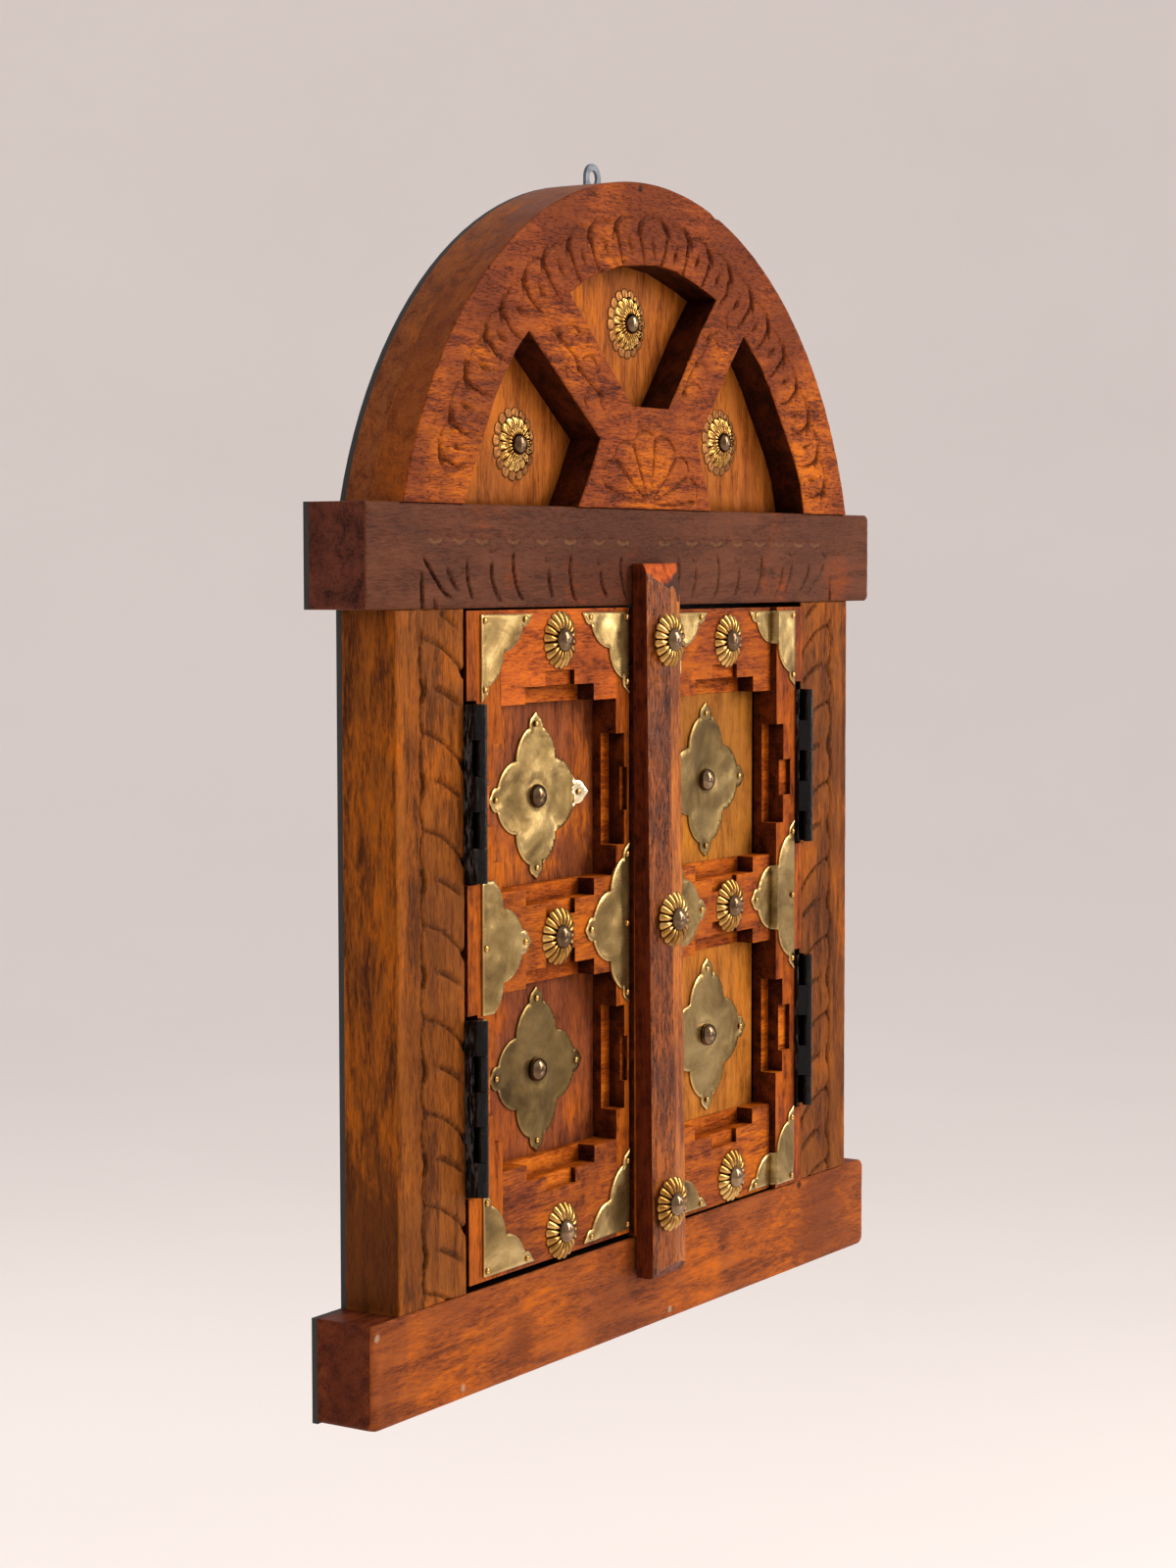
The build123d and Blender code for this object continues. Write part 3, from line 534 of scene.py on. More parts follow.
def slab(name, outline, holes, y_front, y_back, body, mats, height=None, pitch=2.0, edge_step=None, round_=0.5,
         dense=None, dense_pitch=None, cuts=None, pale=None, inner=None, **kw):
    """
    A board cut to an outline in X and Z, with its front face as a relief.
    height(P) gives how far the front lies behind y_front. dense(P) says where the finer pitch is used.
    """
    edge_step = edge_step or pitch
    loops = [resample(outline, edge_step)] + [resample(h, edge_step) for h in holes]
    lo, hi = loops[0].min(0), loops[0].max(0)

    def grid(p):
        gx = np.arange(lo[0] + p / 2, hi[0], p)
        gz = np.arange(lo[1] + p / 2, hi[1], p)
        X, Z = np.meshgrid(gx, gz)
        G = np.c_[X.ravel(), Z.ravel()]
        G = G + (rng.rand(*G.shape) - 0.5) * p * 0.25
        return G

    G = grid(pitch)
    if dense is not None:
        G = G[~dense(G)]
        D = grid(dense_pitch)
        G = np.vstack([G, D[dense(D)]])
    keep = inside(G, loops[0])
    for h in loops[1:]:
        keep &= ~inside(G, h)
    G = G[keep]
    G = G[edge_distance(G, loops) > max(round_ * 1.6, 0.55 * min(pitch, dense_pitch or pitch))]
    # a ring just inside every edge, so that the edge can be rounded
    rings = []
    for k, loop in enumerate(loops):
        nxt, prv = np.roll(loop, -1, axis=0), np.roll(loop, 1, axis=0)
        t = nxt - prv
        t = t / np.maximum(np.linalg.norm(t, axis=1)[:, None], 1e-9)
        nrm = np.c_[-t[:, 1], t[:, 0]]
        area = 0.5 * np.sum(loop[:, 0] * nxt[:, 1] - nxt[:, 0] * loop[:, 1])
        s = (1 if area > 0 else -1) * (1 if k == 0 else -1)
        for f in (round_,):
            rings.append(loop + nrm * s * f)
    ring = np.vstack(rings)
    ok = inside(ring, loops[0])
    for h in loops[1:]:
        ok &= ~inside(ring, h)
    ok &= edge_distance(ring, loops) > round_ * 0.55
    ring = ring[ok]
    nb = sum(len(l) for l in loops)
    P = np.vstack(loops + [ring, G])
    edges, start = [], 0
    for l in loops:
        n = len(l)
        edges += [(start + i, start + (i + 1) % n) for i in range(n)]
        start += n
    vs, _, fs, orig, _, _ = delaunay_2d_cdt([Vector(p) for p in P], edges, [], 0, 1e-4)
    V = np.array([(v.x, v.y) for v in vs])
    F = np.array([f for f in fs if len(f) == 3])
    C = V[F].mean(1)
    good = inside(C, loops[0])
    for h in loops[1:]:
        good &= ~inside(C, h)
    F = F[good]
    first = {}
    for new, olds in enumerate(orig):
        for o in olds:
            first.setdefault(o, new)
    H = height(V) if height is not None else np.zeros(len(V))
    on_edge = np.zeros(len(V), bool)
    for i in range(nb):
        on_edge[first[i]] = True
    H = H + np.where(on_edge, round_ * 0.9, 0)
    verts = [(v[0], y_front + h, v[1]) for v, h in zip(V, H)]
    faces = [tuple(f) for f in F]
    front_count = len(faces)
    # sides and back
    start = 0
    back_loops = []
    for l in loops:
        n = len(l)
        ids = [first[start + i] for i in range(n)]
        near = len(verts)                        # a ring close to the front keeps the edge's rounding narrow
        for i in range(n):
            v = V[ids[i]]
            verts.append((v[0], verts[ids[i]][1] + 0.8, v[1]))
        far = len(verts)                         # and one close to the back
        for i in range(n):
            v = V[ids[i]]
            verts.append((v[0], y_back - 0.5, v[1]))
        base = len(verts)
        for i in range(n):
            v = V[ids[i]]
            verts.append((v[0], y_back, v[1]))
        for i in range(n):
            j = (i + 1) % n
            if ids[i] != ids[j]:
                faces.append((ids[i], ids[j], near + j, near + i))
                faces.append((near + i, near + j, far + j, far + i))
                faces.append((far + i, far + j, base + j, base + i))
        back_loops.append((base, n))
        start += n
    side_count = len(faces) - front_count
    be, bp, bmap = [], [], []
    for base, n in back_loops:
        s = len(bp)
        for i in range(n):
            bp.append((verts[base + i][0], verts[base + i][2]))
            bmap.append(base + i)
        be += [(s + i, s + (i + 1) % n) for i in range(n)]
    vs2, _, fs2, orig2, _, _ = delaunay_2d_cdt([Vector(p) for p in bp], be, [], 0, 1e-4)
    V2 = np.array([(v.x, v.y) for v in vs2])
    F2 = np.array([f for f in fs2 if len(f) == 3])
    C2 = V2[F2].mean(1)
    good = inside(C2, loops[0])
    for h in loops[1:]:
        good &= ~inside(C2, h)
    back_of = [bmap[o[0]] for o in orig2]
    for f in F2[good]:
        faces.append(tuple(back_of[i] for i in f))
    face_mats = None
    if isinstance(mats, (list, tuple)) and len(mats) > 1:
        face_mats = [0] * front_count + [1] * (len(faces) - front_count)
        if inner is not None:
            for i in range(front_count, front_count + side_count):
                c = np.mean([verts[q] for q in faces[i]], axis=0)
                if inner(c[0], c[2]):
                    face_mats[i] = 2
    cut = None
    if cuts is not None:
        cut = np.zeros(len(verts))
        cut[:len(V)] = cuts.depth(V)
    light_cut = None
    if pale is not None:
        light_cut = np.zeros(len(verts))
        light_cut[:len(V)] = pale.depth(V)
    groups = [0] * front_count + [1] * side_count + [2] * (len(faces) - front_count - side_count)
    return make(name, verts, faces, body, mats, flat_angle=48, face_mats=face_mats, cut=cut, pale=light_cut, groups=groups, **kw)


def timber(node, mat, bevel=0.5, seg=2, cuts=None):
    """A CAD board with eased edges and slightly uneven faces."""
    src = NODES[node]
    me = src.data.copy()
    ob = bpy.data.objects.new("wood_" + node, me)
    bpy.context.scene.collection.objects.link(ob)
    bm = bmesh.new()
    bm.from_mesh(me)
    bmesh.ops.remove_doubles(bm, verts=bm.verts, dist=1e-6)
    bmesh.ops.dissolve_limit(bm, angle_limit=math.radians(2), verts=bm.verts, edges=bm.edges)
    bm.to_mesh(me)
    bm.free()
    me.materials.clear()
    me.materials.append(mat)
    bev = ob.modifiers.new("ease", "BEVEL")
    bev.width = bevel * MM
    bev.segments = seg
    bev.limit_method = "ANGLE"
    bev.angle_limit = math.radians(35)
    bev.use_clamp_overlap = True
    bev.harden_normals = False
    apply_modifiers(ob)
    bm = bmesh.new()
    bm.from_mesh(ob.data)
    for f in bm.faces:
        f.smooth = True
    for e in bm.edges:
        e.smooth = e.calc_face_angle(0) < math.radians(50) if len(e.link_faces) == 2 else False
    if cuts is not None:
        # floors and upward ledges of the notches get a lighter copy of the wood, painted light; their other walls a
        # darker one, painted shade
        for mt in cuts:
            ob.data.materials.append(mt)
        front = min(v.co.y for v in bm.verts)
        for f in bm.faces:
            c, n = f.calc_center_median(), f.normal
            back = (c.y - front) / MM
            if n.y < -0.7 and 1.6 < back < 9.5:
                f.material_index = 1
            elif n.z > 0.7 and 0.6 < back < 13:
                f.material_index = 1
            elif abs(n.y) < 0.5 and 0.8 < back:
                f.material_index = 2
    bm.to_mesh(ob.data)
    bm.free()
    wn = ob.modifiers.new("normals", "WEIGHTED_NORMAL")
    wn.keep_sharp = True
    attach(ob, src["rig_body"])
    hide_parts(node)
    return ob


def apply_modifiers(ob):
    dg = bpy.context.evaluated_depsgraph_get()
    me = bpy.data.meshes.new_from_object(ob.evaluated_get(dg))
    ob.modifiers.clear()
    ob.data = me


def paint_node(node, mat):
    o = NODES[node]
    o.data.materials.clear()
    o.data.materials.append(mat)


# ----------------------------------------------------------------- the arch
ARCH_R, ACX, ACZ = 189.8, -1.0, -48.0
LEFT_WIN = [(-142.5, 0), (-135.0, 15.0), (-130.0, 24.5), (-125.0, 34.5), (-120.0, 43.8), (-113.8, 52.5), (-108.8, 58.0),
            (-105.5, 63.0), (-95.6, 71.9), (-40.6, 29.4), (-50.0, 12.5), (-58.1, 0)]
MID_WIN = [(-64.4, 90.0), (-50.0, 96.9), (-35.0, 101.5), (-24.0, 104.4), (5.0, 107.0), (22.5, 105.6), (45.0, 99.8),
           (57.5, 95.6), (42.5, 78.8), (26.3, 57.5), (15.6, 44.4), (-15.0, 44.4)]
RIGHT_WIN = [(140.6, 0), (136.3, 15.0), (130.0, 26.3), (122.5, 36.8), (115.0, 46.8), (107.5, 57.5), (98.8, 67.5),
             (90.0, 74.5), (82.5, 80.6), (70.6, 67.5), (60.0, 54.3), (40.6, 29.5), (51.9, 1.9), (52.7, 0)]


def polar(r, a):
    return (ACX + r * math.cos(math.radians(a)), ACZ + r * math.sin(math.radians(a)))


def arch_outline():
    a0 = math.degrees(math.asin(48.0 / ARCH_R))
    arc = []
    for k in range(121):
        a = a0 + (180 - 2 * a0) * k / 120
        x, z = polar(ARCH_R, a)
        # a small nick in the edge, to the right of the top
        d = math.hypot(x - 56.5, z - 132.5)
        if d < 4:
            r = ARCH_R - 0.9 * (1 - d / 4)
            x, z = polar(r, a)
        arc.append((x, max(z, 0.0)))
    return arc


outline = arch_outline()
# the openings' feet join the lower edge, so the fretwork is one outline, drawn anticlockwise
fret_outline = list(outline)                                   # right foot, over the top, to the left foot
fret_outline += [p for p in LEFT_WIN]                          # from (-142.5, 0) up, over and down to (-58.1, 0)
fret_outline += list(reversed(RIGHT_WIN))                      # from (52.7, 0) up and over to (140.6, 0)

carve = Carving()
left_notch = [157.0, 151.6, 144.6, 137.3, 131.9, 124.7, 119.0, 112.0, 106.0, 98.7, 92.0]
right_notch = [85.3, 78.8, 72.3, 65.6, 58.4, 51.8, 45.3, 38.9, 32.4, 26.2, 20.5]
notches = left_notch + right_notch
for k, a in enumerate(notches):
    j = rng.rand() - 0.5
    flip = 1 if a > 90 else -1
    # deep stab where two leaf tips meet
    carve.cut([polar(175.6 + j, a - 1.6 * flip), polar(171.5 + j, a + 0.5 * flip), polar(167.5, a + 1.5 * flip)],
              [2.2, 4.2, 2.2], [0.8, 2.3, 0.9], skew=0.35 * flip, taper=False)
    # the leaf's rib, running in to the opening's edge
    wig = (rng.rand(3) - 0.5) * 0.5
    carve.cut(smooth_line([polar(171.0, a + 0.6 * flip), polar(166, a + (0.35 + wig[0]) * flip), polar(161, a + (0.1 + wig[1]) * flip),
                           polar(156, a - (0.5 + wig[2]) * flip), polar(152.5, a - 1.3 * flip)]), [3.2, 2.4, 2.0, 2.0, 1.6],
              [2.0, 1.7, 1.4, 1.2, 0.8], skew=0.35 * flip, taper=False)
    if k + 1 < len(notches) and abs(notches[k + 1] - a) < 9:
        b = notches[k + 1]
        mid = (a + b) / 2
        bulge = 175.0 + 1.4 * (rng.rand() - 0.5)
        carve.cut(smooth_line([polar(171.5, a), polar(bulge - 0.7, a + (b - a) * 0.28), polar(bulge, mid),
                               polar(bulge - 0.9, a + (b - a) * 0.74), polar(171.5, b)]), 1.5, 0.75, skew=-0.3)
        # short gouge down the middle of the leaf
        top = 168.5 - 3.0 * rng.rand()
        carve.cut(smooth_line([polar(top, mid + 0.5 * flip), polar(top - 4.0, mid + 0.3 * flip), polar(top - 8.5, mid - 0.4 * flip)]),
                  [1.6, 3.4, 1.2], [0.7, 1.6, 0.5], skew=0.5 * flip, taper=False)

# rope-like lines down the two spokes
for line in ([(-83, 81), (-80, 75), (-74, 71.5), (-67, 67), (-61, 63), (-57.5, 58), (-52, 54.5), (-46, 50.5), (-41.5, 48), (-40.5, 44),
              (-38, 41), (-34.5, 40)],
             [(66, 88), (60, 82), (51, 78), (46, 71), (40, 66), (34, 60.5), (29, 53), (25, 49), (24, 44)]):
    carve.cut(smooth_line(line), 2.1, 1.15, skew=0.4)
for (x, z), (dx, dz) in (((-72.5, 71), (1, -0.6)), ((-57.5, 58.5), (1, -0.75)), ((-40.8, 48.3), (1, -0.4)),
                         ((51, 78), (-0.8, -1)), ((40, 65.6), (-0.7, -1)), ((29, 52.2), (-0.4, -1))):
    carve.cut([(x - dx * 2.4, z - dz * 2.4), (x, z), (x + dx * 2.4, z + dz * 2.4)], [1.6, 4.2, 1.6], [0.6, 2.2, 0.6], taper=False)
for line in ([(-70, 72), (-66, 76), (-60, 75.5), (-55.5, 71)], [(-56, 60), (-52, 64), (-46, 63), (-43, 59)],
             [(-79, 85), (-75, 88), (-70, 86)], [(-64, 63), (-68, 58), (-66, 52)], [(-49, 51), (-53, 46), (-51, 41)],
             [(43, 80), (47, 77.5), (51, 75.5)], [(31, 66.5), (37, 64.8), (41, 63)], [(53, 79), (58, 76), (60, 70)],
             [(41, 67), (47, 64.5), (49.5, 59)], [(29.5, 54), (34, 56.5), (41, 56), (45, 52)], [(67.5, 92), (66.5, 86), (67, 81)]):
    carve.cut(smooth_line(line), 1.9, 0.9, skew=0.3)

# the shell at the foot of the middle
cusps = [(-38.5, 9.5), (-29, 21), (-14.5, 28), (4, 31), (22, 23), (32, 15), (38.5, 4)]
for i, (x, z) in enumerate(cusps):
    carve.cut([(x * 0.97, z * 0.97), (x * 0.55, z * 0.55), (x * 0.10 - 1, z * 0.10 + 1.5)], [2.6, 2.3, 1.2], [1.5, 1.2, 0.7], skew=0.35, taper=False)
    if i + 1 < len(cusps):
        x1, z1 = cusps[i + 1]
        mx, mz = (x + x1) / 2, (z + z1) / 2
        s = 1 + 4.6 / math.hypot(mx, mz)
        carve.cut(smooth_line([(x, z), ((x * 0.75 + x1 * 0.25) * (1 + 3.4 / math.hypot(mx, mz)), (z * 0.75 + z1 * 0.25) * (1 + 3.4 / math.hypot(mx, mz))),
                               (mx * s, mz * s),
                               ((x * 0.25 + x1 * 0.75) * (1 + 3.4 / math.hypot(mx, mz)), (z * 0.25 + z1 * 0.75) * (1 + 3.4 / math.hypot(mx, mz))),
                               (x1, z1)]), 1.9, 1.1, skew=-0.3)
        # a short groove in each petal
        carve.cut([(mx * 0.86, mz * 0.86), (mx * 0.52, mz * 0.52)], [1.3, 1.0], [0.55, 0.3])
carve.cut([(-38, 9), (-20, 6.5), (-5, 4)], 1.7, 0.8)


def chips(P, seed, scale=0.35, amount=0.10):
    return amount * (value_noise(P, scale, seed) + 0.6 * value_noise(P, scale * 2.7, seed + 1))


def fret_height(P):
    h = carve.depth(P)
    # leaf bodies swell a little between their cuts
    return h + 0.25 + chips(P, 3)


def near_carving(P):
    r = np.hypot(P[:, 0] - ACX, P[:, 1] - ACZ)
    band = (r > 149) & (r < 180)
    shell = (np.hypot(P[:, 0], P[:, 1]) < 41)
    spoke1 = np.abs((P[:, 0] + 60) * 0.62 + (P[:, 1] - 62) * 0.78) < 17
    spoke2 = np.abs((P[:, 0] - 46) * 0.80 - (P[:, 1] - 68) * 0.60) < 17
    return band | shell | ((r < 152) & (P[:, 1] > 36) & (((P[:, 0] < -28) & spoke1) | ((P[:, 0] > 18) & spoke2)))


FRET = red_wood(21, "x", patch=(0.52, 0.66), grime=0.45, pores=1.3, relief=1.3, dark=srgb(78, 30, 9), mid=srgb(132, 58, 20), light=srgb(158, 78, 24),
                spots=((-148, 24, 34), (-62, 64, 20), (138, 28, 40), (62, 74, 13), (-128, 62, 16), (0, 10, 26), (30, 60, 14)),
                shade=((-70, 115, 28), (0, 128, 34), (70, 108, 36), (-125, 78, 22), (118, 82, 26)),
                holes=((156.1, 17.9, 1.0), (156.2, 9.4, 1.0), (-8.6, 138.8, 2.2)))
FRET_SIDE = red_wood(23, "x", dark=srgb(88, 38, 12), mid=srgb(124, 60, 20), light=srgb(144, 76, 28), glow=srgb(160, 80, 14), contrast=0.7, pores=0.5)
# the openings' inner walls: a much darker copy of the red wood, partly stain and partly painted shade
SHADED_WALLS = red_wood(25, "x", dark=srgb(26, 8, 2), mid=srgb(48, 17, 5), light=srgb(70, 27, 8), glow=srgb(84, 32, 8), grime=0.7)
slab("carved_arch", fret_outline, [MID_WIN], -31.6, -15.4, "frame", [FRET, FRET_SIDE, SHADED_WALLS], height=fret_height, pitch=2.6,
     cuts=carve, inner=lambda x, z: math.hypot(x - ACX, z - ACZ) < 186 and z > 0.3, edge_step=1.1, round_=0.55, dense=near_carving, dense_pitch=0.82, replaces=("arch_fretwork",), slot="red_wood")

BACKL = tan_wood(31, "z", figure=1.2, patch=(0.58, 0.72),
                 dark=srgb(118, 58, 18), mid=srgb(160, 86, 28), light=srgb(180, 104, 38),
                 spots=((-112, 46, 26), (-122, 18, 18), (-40, 88, 34), (-12, 56, 16), (62, 50, 28), (80, 74, 18)))
BACKL_SIDE = red_wood(33, "x", dark=srgb(82, 38, 16), mid=srgb(120, 62, 28), light=srgb(142, 80, 38), glow=srgb(158, 82, 20), contrast=0.7, pores=0.5)
slab("arch_backing", outline, [], -15.4, -2.8, "frame", [BACKL, BACKL_SIDE], height=lambda P: 0.02 + np.maximum(0, chips(P, 8, 0.12, 0.05)),
     pitch=5.0, edge_step=3.0, round_=0.35, replaces=("arch_back_layer",), slot="tan_wood")

# ------------------------------------------------------------------- lintel
lin = Carving()
left_g = [[(-171.5, -20), (-165, -26), (-157, -34), (-147, -40)], [(-153.5, -25), (-150, -30.5), (-145, -35.5)],
          [(-139.5, -22), (-138.5, -31), (-134.5, -40.5)], [(-121, -21.5), (-121.5, -29), (-118, -36.5), (-113, -40.5)],
          [(-105.5, -17), (-106, -26), (-102.5, -35), (-97, -41)], [(-79.5, -25), (-78.5, -33), (-75, -40.5)],
          [(-61.5, -18), (-63, -27), (-61, -36), (-57, -41.5)], [(-39, -26), (-37.5, -33), (-32.5, -39.5)],
          [(-22, -19), (-22.5, -27), (-19.5, -36), (-15.5, -41)]]
right_g = [[(25, -20), (26, -29), (23, -38)], [(41, -25), (40, -33), (36, -40)], [(60, -18.5), (61.5, -28), (59, -37), (55, -41)],
           [(80, -25), (79, -33), (75, -40)], [(100.5, -18.5), (101, -26), (98, -34), (92, -41)], [(122, -24), (119, -33), (113, -40)],
           [(148, -23.5), (144.5, -31), (137, -38)], [(164, -22), (157, -30), (145, -38.5)], [(131, -22), (128, -31), (122, -39.5)]]
lin_pale = Carving()
for k, g in enumerate(left_g + right_g):
    big = k in (0, 2, 4, 6, 8, 9, 11, 13, 15)
    line = smooth_line(g)
    side = -0.45 if k < len(left_g) else 0.45
    lin.cut(line, 2.0 if big else 2.6, 1.5 if big else 1.3, skew=side)
    lin_pale.cut(line + [-0.8 if k < len(left_g) else 0.8, 0.0], 1.2, 0.40)
    if not big:                                  # the short hooked stab at the head of the gouge
        x, z = g[0]
        hook = smooth_line([(x - 4.2, z + 4.0), (x - 1.2, z + 1.6), (x + 1.2, z + 2.4), (x + 3.2, z + 3.6)])
        lin.cut(hook, 1.4, 0.7)
scal = [-161, -144, -128, -105.5, -84, -62.5, -40, -20.5, 14, 38, 60, 79, 100, 119, 138, 154]
for k, x in enumerate(scal):
    w = 5.2 + 1.6 * rng.rand()
    chip = [(x - w, -14.0), (x - w * 0.45, -15.0), (x, -15.6), (x + w * 0.5, -15.0), (x + w, -14.0)]
    lin.cut(smooth_line([(a, b - 1.0) for a, b in chip]), 1.5, 0.9)
    lin_pale.cut(smooth_line(chip), 3.0, 0.8)
    if k + 1 < len(scal) and scal[k + 1] - x < 30:
        lin.cut(smooth_line([(x + w * 0.9, -13.9), ((x + scal[k + 1]) / 2, -13.2), (scal[k + 1] - w * 0.9, -13.9)]), 1.3, 0.7)
lin.cut([(-170.6, -28), (-170.8, -35), (-170.2, -42)], [1.6, 2.6, 2.6], [1.0, 2.4, 2.4], taper=False)
lin.cut([(-162.5, -38.5), (-161, -42)], [1.6, 2.6], [1.0, 1.8], taper=False)
lin.cut([(168.5, -30), (168.2, -42)], [1.6, 2.4], [0.8, 2.0], taper=False)


def rounded_rect(x0, x1, z0, z1, radii, n=5):
    """Anticlockwise rectangle; radii are for lower left, lower right, upper right, upper left."""
    pts = []
    for (cx, cz, a0, r) in ((x0, z0, 180, radii[0]), (x1, z0, 270, radii[1]), (x1, z1, 0, radii[2]), (x0, z1, 90, radii[3])):
        if r <= 0:
            pts.append((cx, cz))
            continue
        ox = cx + (r if cx == x0 else -r)
        oz = cz + (r if cz == z0 else -r)
        for k in range(n + 1):
            a = math.radians(a0 + 90 * k / n)
            pts.append((ox + r * math.cos(a), oz + r * math.sin(a)))
    return pts


LINTEL_M = dark_wood(41, "x", grime=0.5, pale=srgb(132, 92, 62), contrast=0.7, pores=0.5, dark=srgb(66, 34, 22), mid=srgb(90, 49, 31),
                     light=srgb(102, 58, 38), shade=((-30, -20, 60),), spots=((176, -34, 16), (-108, -30, 7), (120, -34, 9)))
LINTEL_S = dark_wood(43, "x", dark=srgb(46, 22, 16), mid=srgb(84, 42, 30), light=srgb(104, 54, 38))
NICHE = wood("niche", "x", srgb(10, 6, 4), srgb(16, 10, 7), srgb(24, 14, 9), srgb(30, 16, 8), 26, grime=0.2)
slab("carved_lintel", rounded_rect(-208, 208, -42.2, 0, (0.8, 3.0, 3.0, 0.8)), [], -30.3, -2.8, "frame", [LINTEL_M, LINTEL_S, NICHE],
     height=lambda P: np.maximum(lin.depth(P), 0.8 * lin_pale.depth(P)) + 0.12 + chips(P, 14, 0.20, 0.09), pitch=2.8, edge_step=2.0,
     round_=0.6, cuts=lin, pale=lin_pale,
     inner=lambda x, z: z < -42 and abs(x) < 141,
     dense=lambda P: (P[:, 0] > -176) & (P[:, 0] < 173) & (P[:, 1] < -11.5), dense_pitch=0.82, replaces=("lintel",), slot="dark_wood")

SILL_M = red_wood(51, "x", slant=0.05, patch=(0.46, 0.60), dark=srgb(92, 42, 16), mid=srgb(136, 66, 24), light=srgb(158, 82, 30),
                  glow=srgb(188, 94, 12), contrast=0.9, pores=0.6, shade=((160, -342, 34), (-100, -352, 12)),
                  flecks=((-202.6, -328.6, 1.9), (19.5, -362.0, 1.8), (-143.9, -361.6, 1.7)), holes=((140.6, -325.5, 2.6),))
SILL_S = red_wood(53, "x", dark=srgb(58, 22, 10), mid=srgb(98, 42, 20), light=srgb(122, 58, 28), glow=srgb(132, 60, 22))
sill_pts = rounded_rect(-206.6, 206.6, -366.1, -323.4, (0, 4.0, 4.0, 0.6))
sill_pts = [p for p in sill_pts if p != (-206.6, -366.1)]
sill_pts = [(-206.6, -364.2), (-205.8, -365.4), (-203.2, -366.1)] + sill_pts


def sill_height(P):
    h = 0.10 + chips(P, 24, 0.10, 0.10)
    d = np.hypot(P[:, 0] + 206.6, (P[:, 1] + 366.1))
    return h + np.clip(4.5 - d, 0, 4.5) * 0.45


slab("sill_board", sill_pts, [], -29.6, -2.8, "frame", [SILL_M, SILL_S, NICHE], height=sill_height, pitch=3.2, edge_step=2.2,
     round_=0.7, inner=lambda x, z: z > -324 and abs(x) < 141, replaces=("sill",), slot="dark_wood")

# -------------------------------------------------------------------- posts


def post(side, seed):
    c = Carving()

    def at(pts):
        return [(side * x, z) for x, z in pts]

    tops = [-54, -91.5, -130.5, -168.5, -206.5, -244.5, -282.0, -318.0]
    for k, t in enumerate(tops):
        j = (rng.rand(4) - 0.5) * 1.6
        sk = 0.5 * side
        # the long leaf line from the border down to the inner edge
        pts = [(169.6, t), (164, t - 1.2), (157, t - 3.6 + j[0] * 0.4), (149.5, t - 8.0 + j[1] * 0.4), (141.6, t - 14.0)]
        c.cut(smooth_line(at(pts)), 2.5, 1.25, skew=-sk, taper=False)
        c.cut(at([(144.5, t - 11.5), (141.2, t - 14.6)]), [2.0, 4.2], [1.0, 2.6], taper=False)
        # the shorter stab between two leaf lines
        u = t - 19.5 + j[2] * 0.6
        c.cut(smooth_line(at([(161, u), (155.5, u - 2.0), (149, u - 5.0), (142.5, u - 9.0)])), 3.6, 1.5, skew=-sk)
        c.cut(at([(162, u + 1.5), (159.8, u - 1.2)]), [1.4, 2.6], [0.5, 1.2], taper=False)
        # the border: alternating stabs and nicks
        c.cut(at([(170.6, t + 4), (169.0, t), (170.6, t - 4)]), [1.2, 3.0, 1.2], [0.5, 1.9, 0.5], taper=False)
        c.cut(smooth_line(at([(170.4, t - 14), (168.0, t - 20), (168.6, t - 23), (170.4, t - 27)])), 3.8, 1.9, skew=sk)
        c.cut(smooth_line(at([(170.6, t - 3), (171.4, t - 9), (170.2, t - 15)])), 1.9, 1.2, taper=False)
        c.cut(smooth_line(at([(170.4, t - 26), (171.4, t - 31), (170.4, t - 36)])), 1.9, 1.2, taper=False)
    c.cut(smooth_line(at([(158.5, -43.5), (152, -46.5), (146, -51)])), 3.4, 1.4, skew=-0.5 * side)

    def height(P):
        d = np.clip((171.0 - np.abs(P[:, 0])) / 30.0, 0, 1)
        return c.depth(P) + 0.22 * np.sin(d * math.pi) + 0.10 + chips(P, 34 + side, 0.14, 0.10)

    x0, x1 = (-187.4, -141.0) if side < 0 else (141.0, 187.4)
    front = red_wood(61 + side, "z", patch=(0.47, 0.60), dark=srgb(76, 38, 10), mid=srgb(120, 63, 16), light=srgb(142, 80, 23),
                     glow=srgb(176, 90, 8), grime=0.45, pores=0.8)
    sides = red_wood(63 + side, "z", dark=srgb(66, 30, 9), mid=srgb(112, 58, 16), light=srgb(138, 76, 22), glow=srgb(172, 88, 8),
                     patch=(0.48, 0.62), pores=0.6, shade=((side * 187, -300, 40),))
    slab("carved_post_" + ("left" if side < 0 else "right"), rounded_rect(x0, x1, -323.4, -42.2, (0, 0, 0, 0)), [], -29.5, -2.8,
         "frame", [front, sides, NICHE], inner=lambda x, z: abs(x) < 141.2, height=height, pitch=3.0, edge_step=1.6, round_=0.6, cuts=c,
         dense=lambda P: np.abs(P[:, 0]) < 173.5, dense_pitch=0.82,
         replaces=("left_post" if side < 0 else "right_post",), slot="red_wood")


post(-1, 0)
post(1, 1)

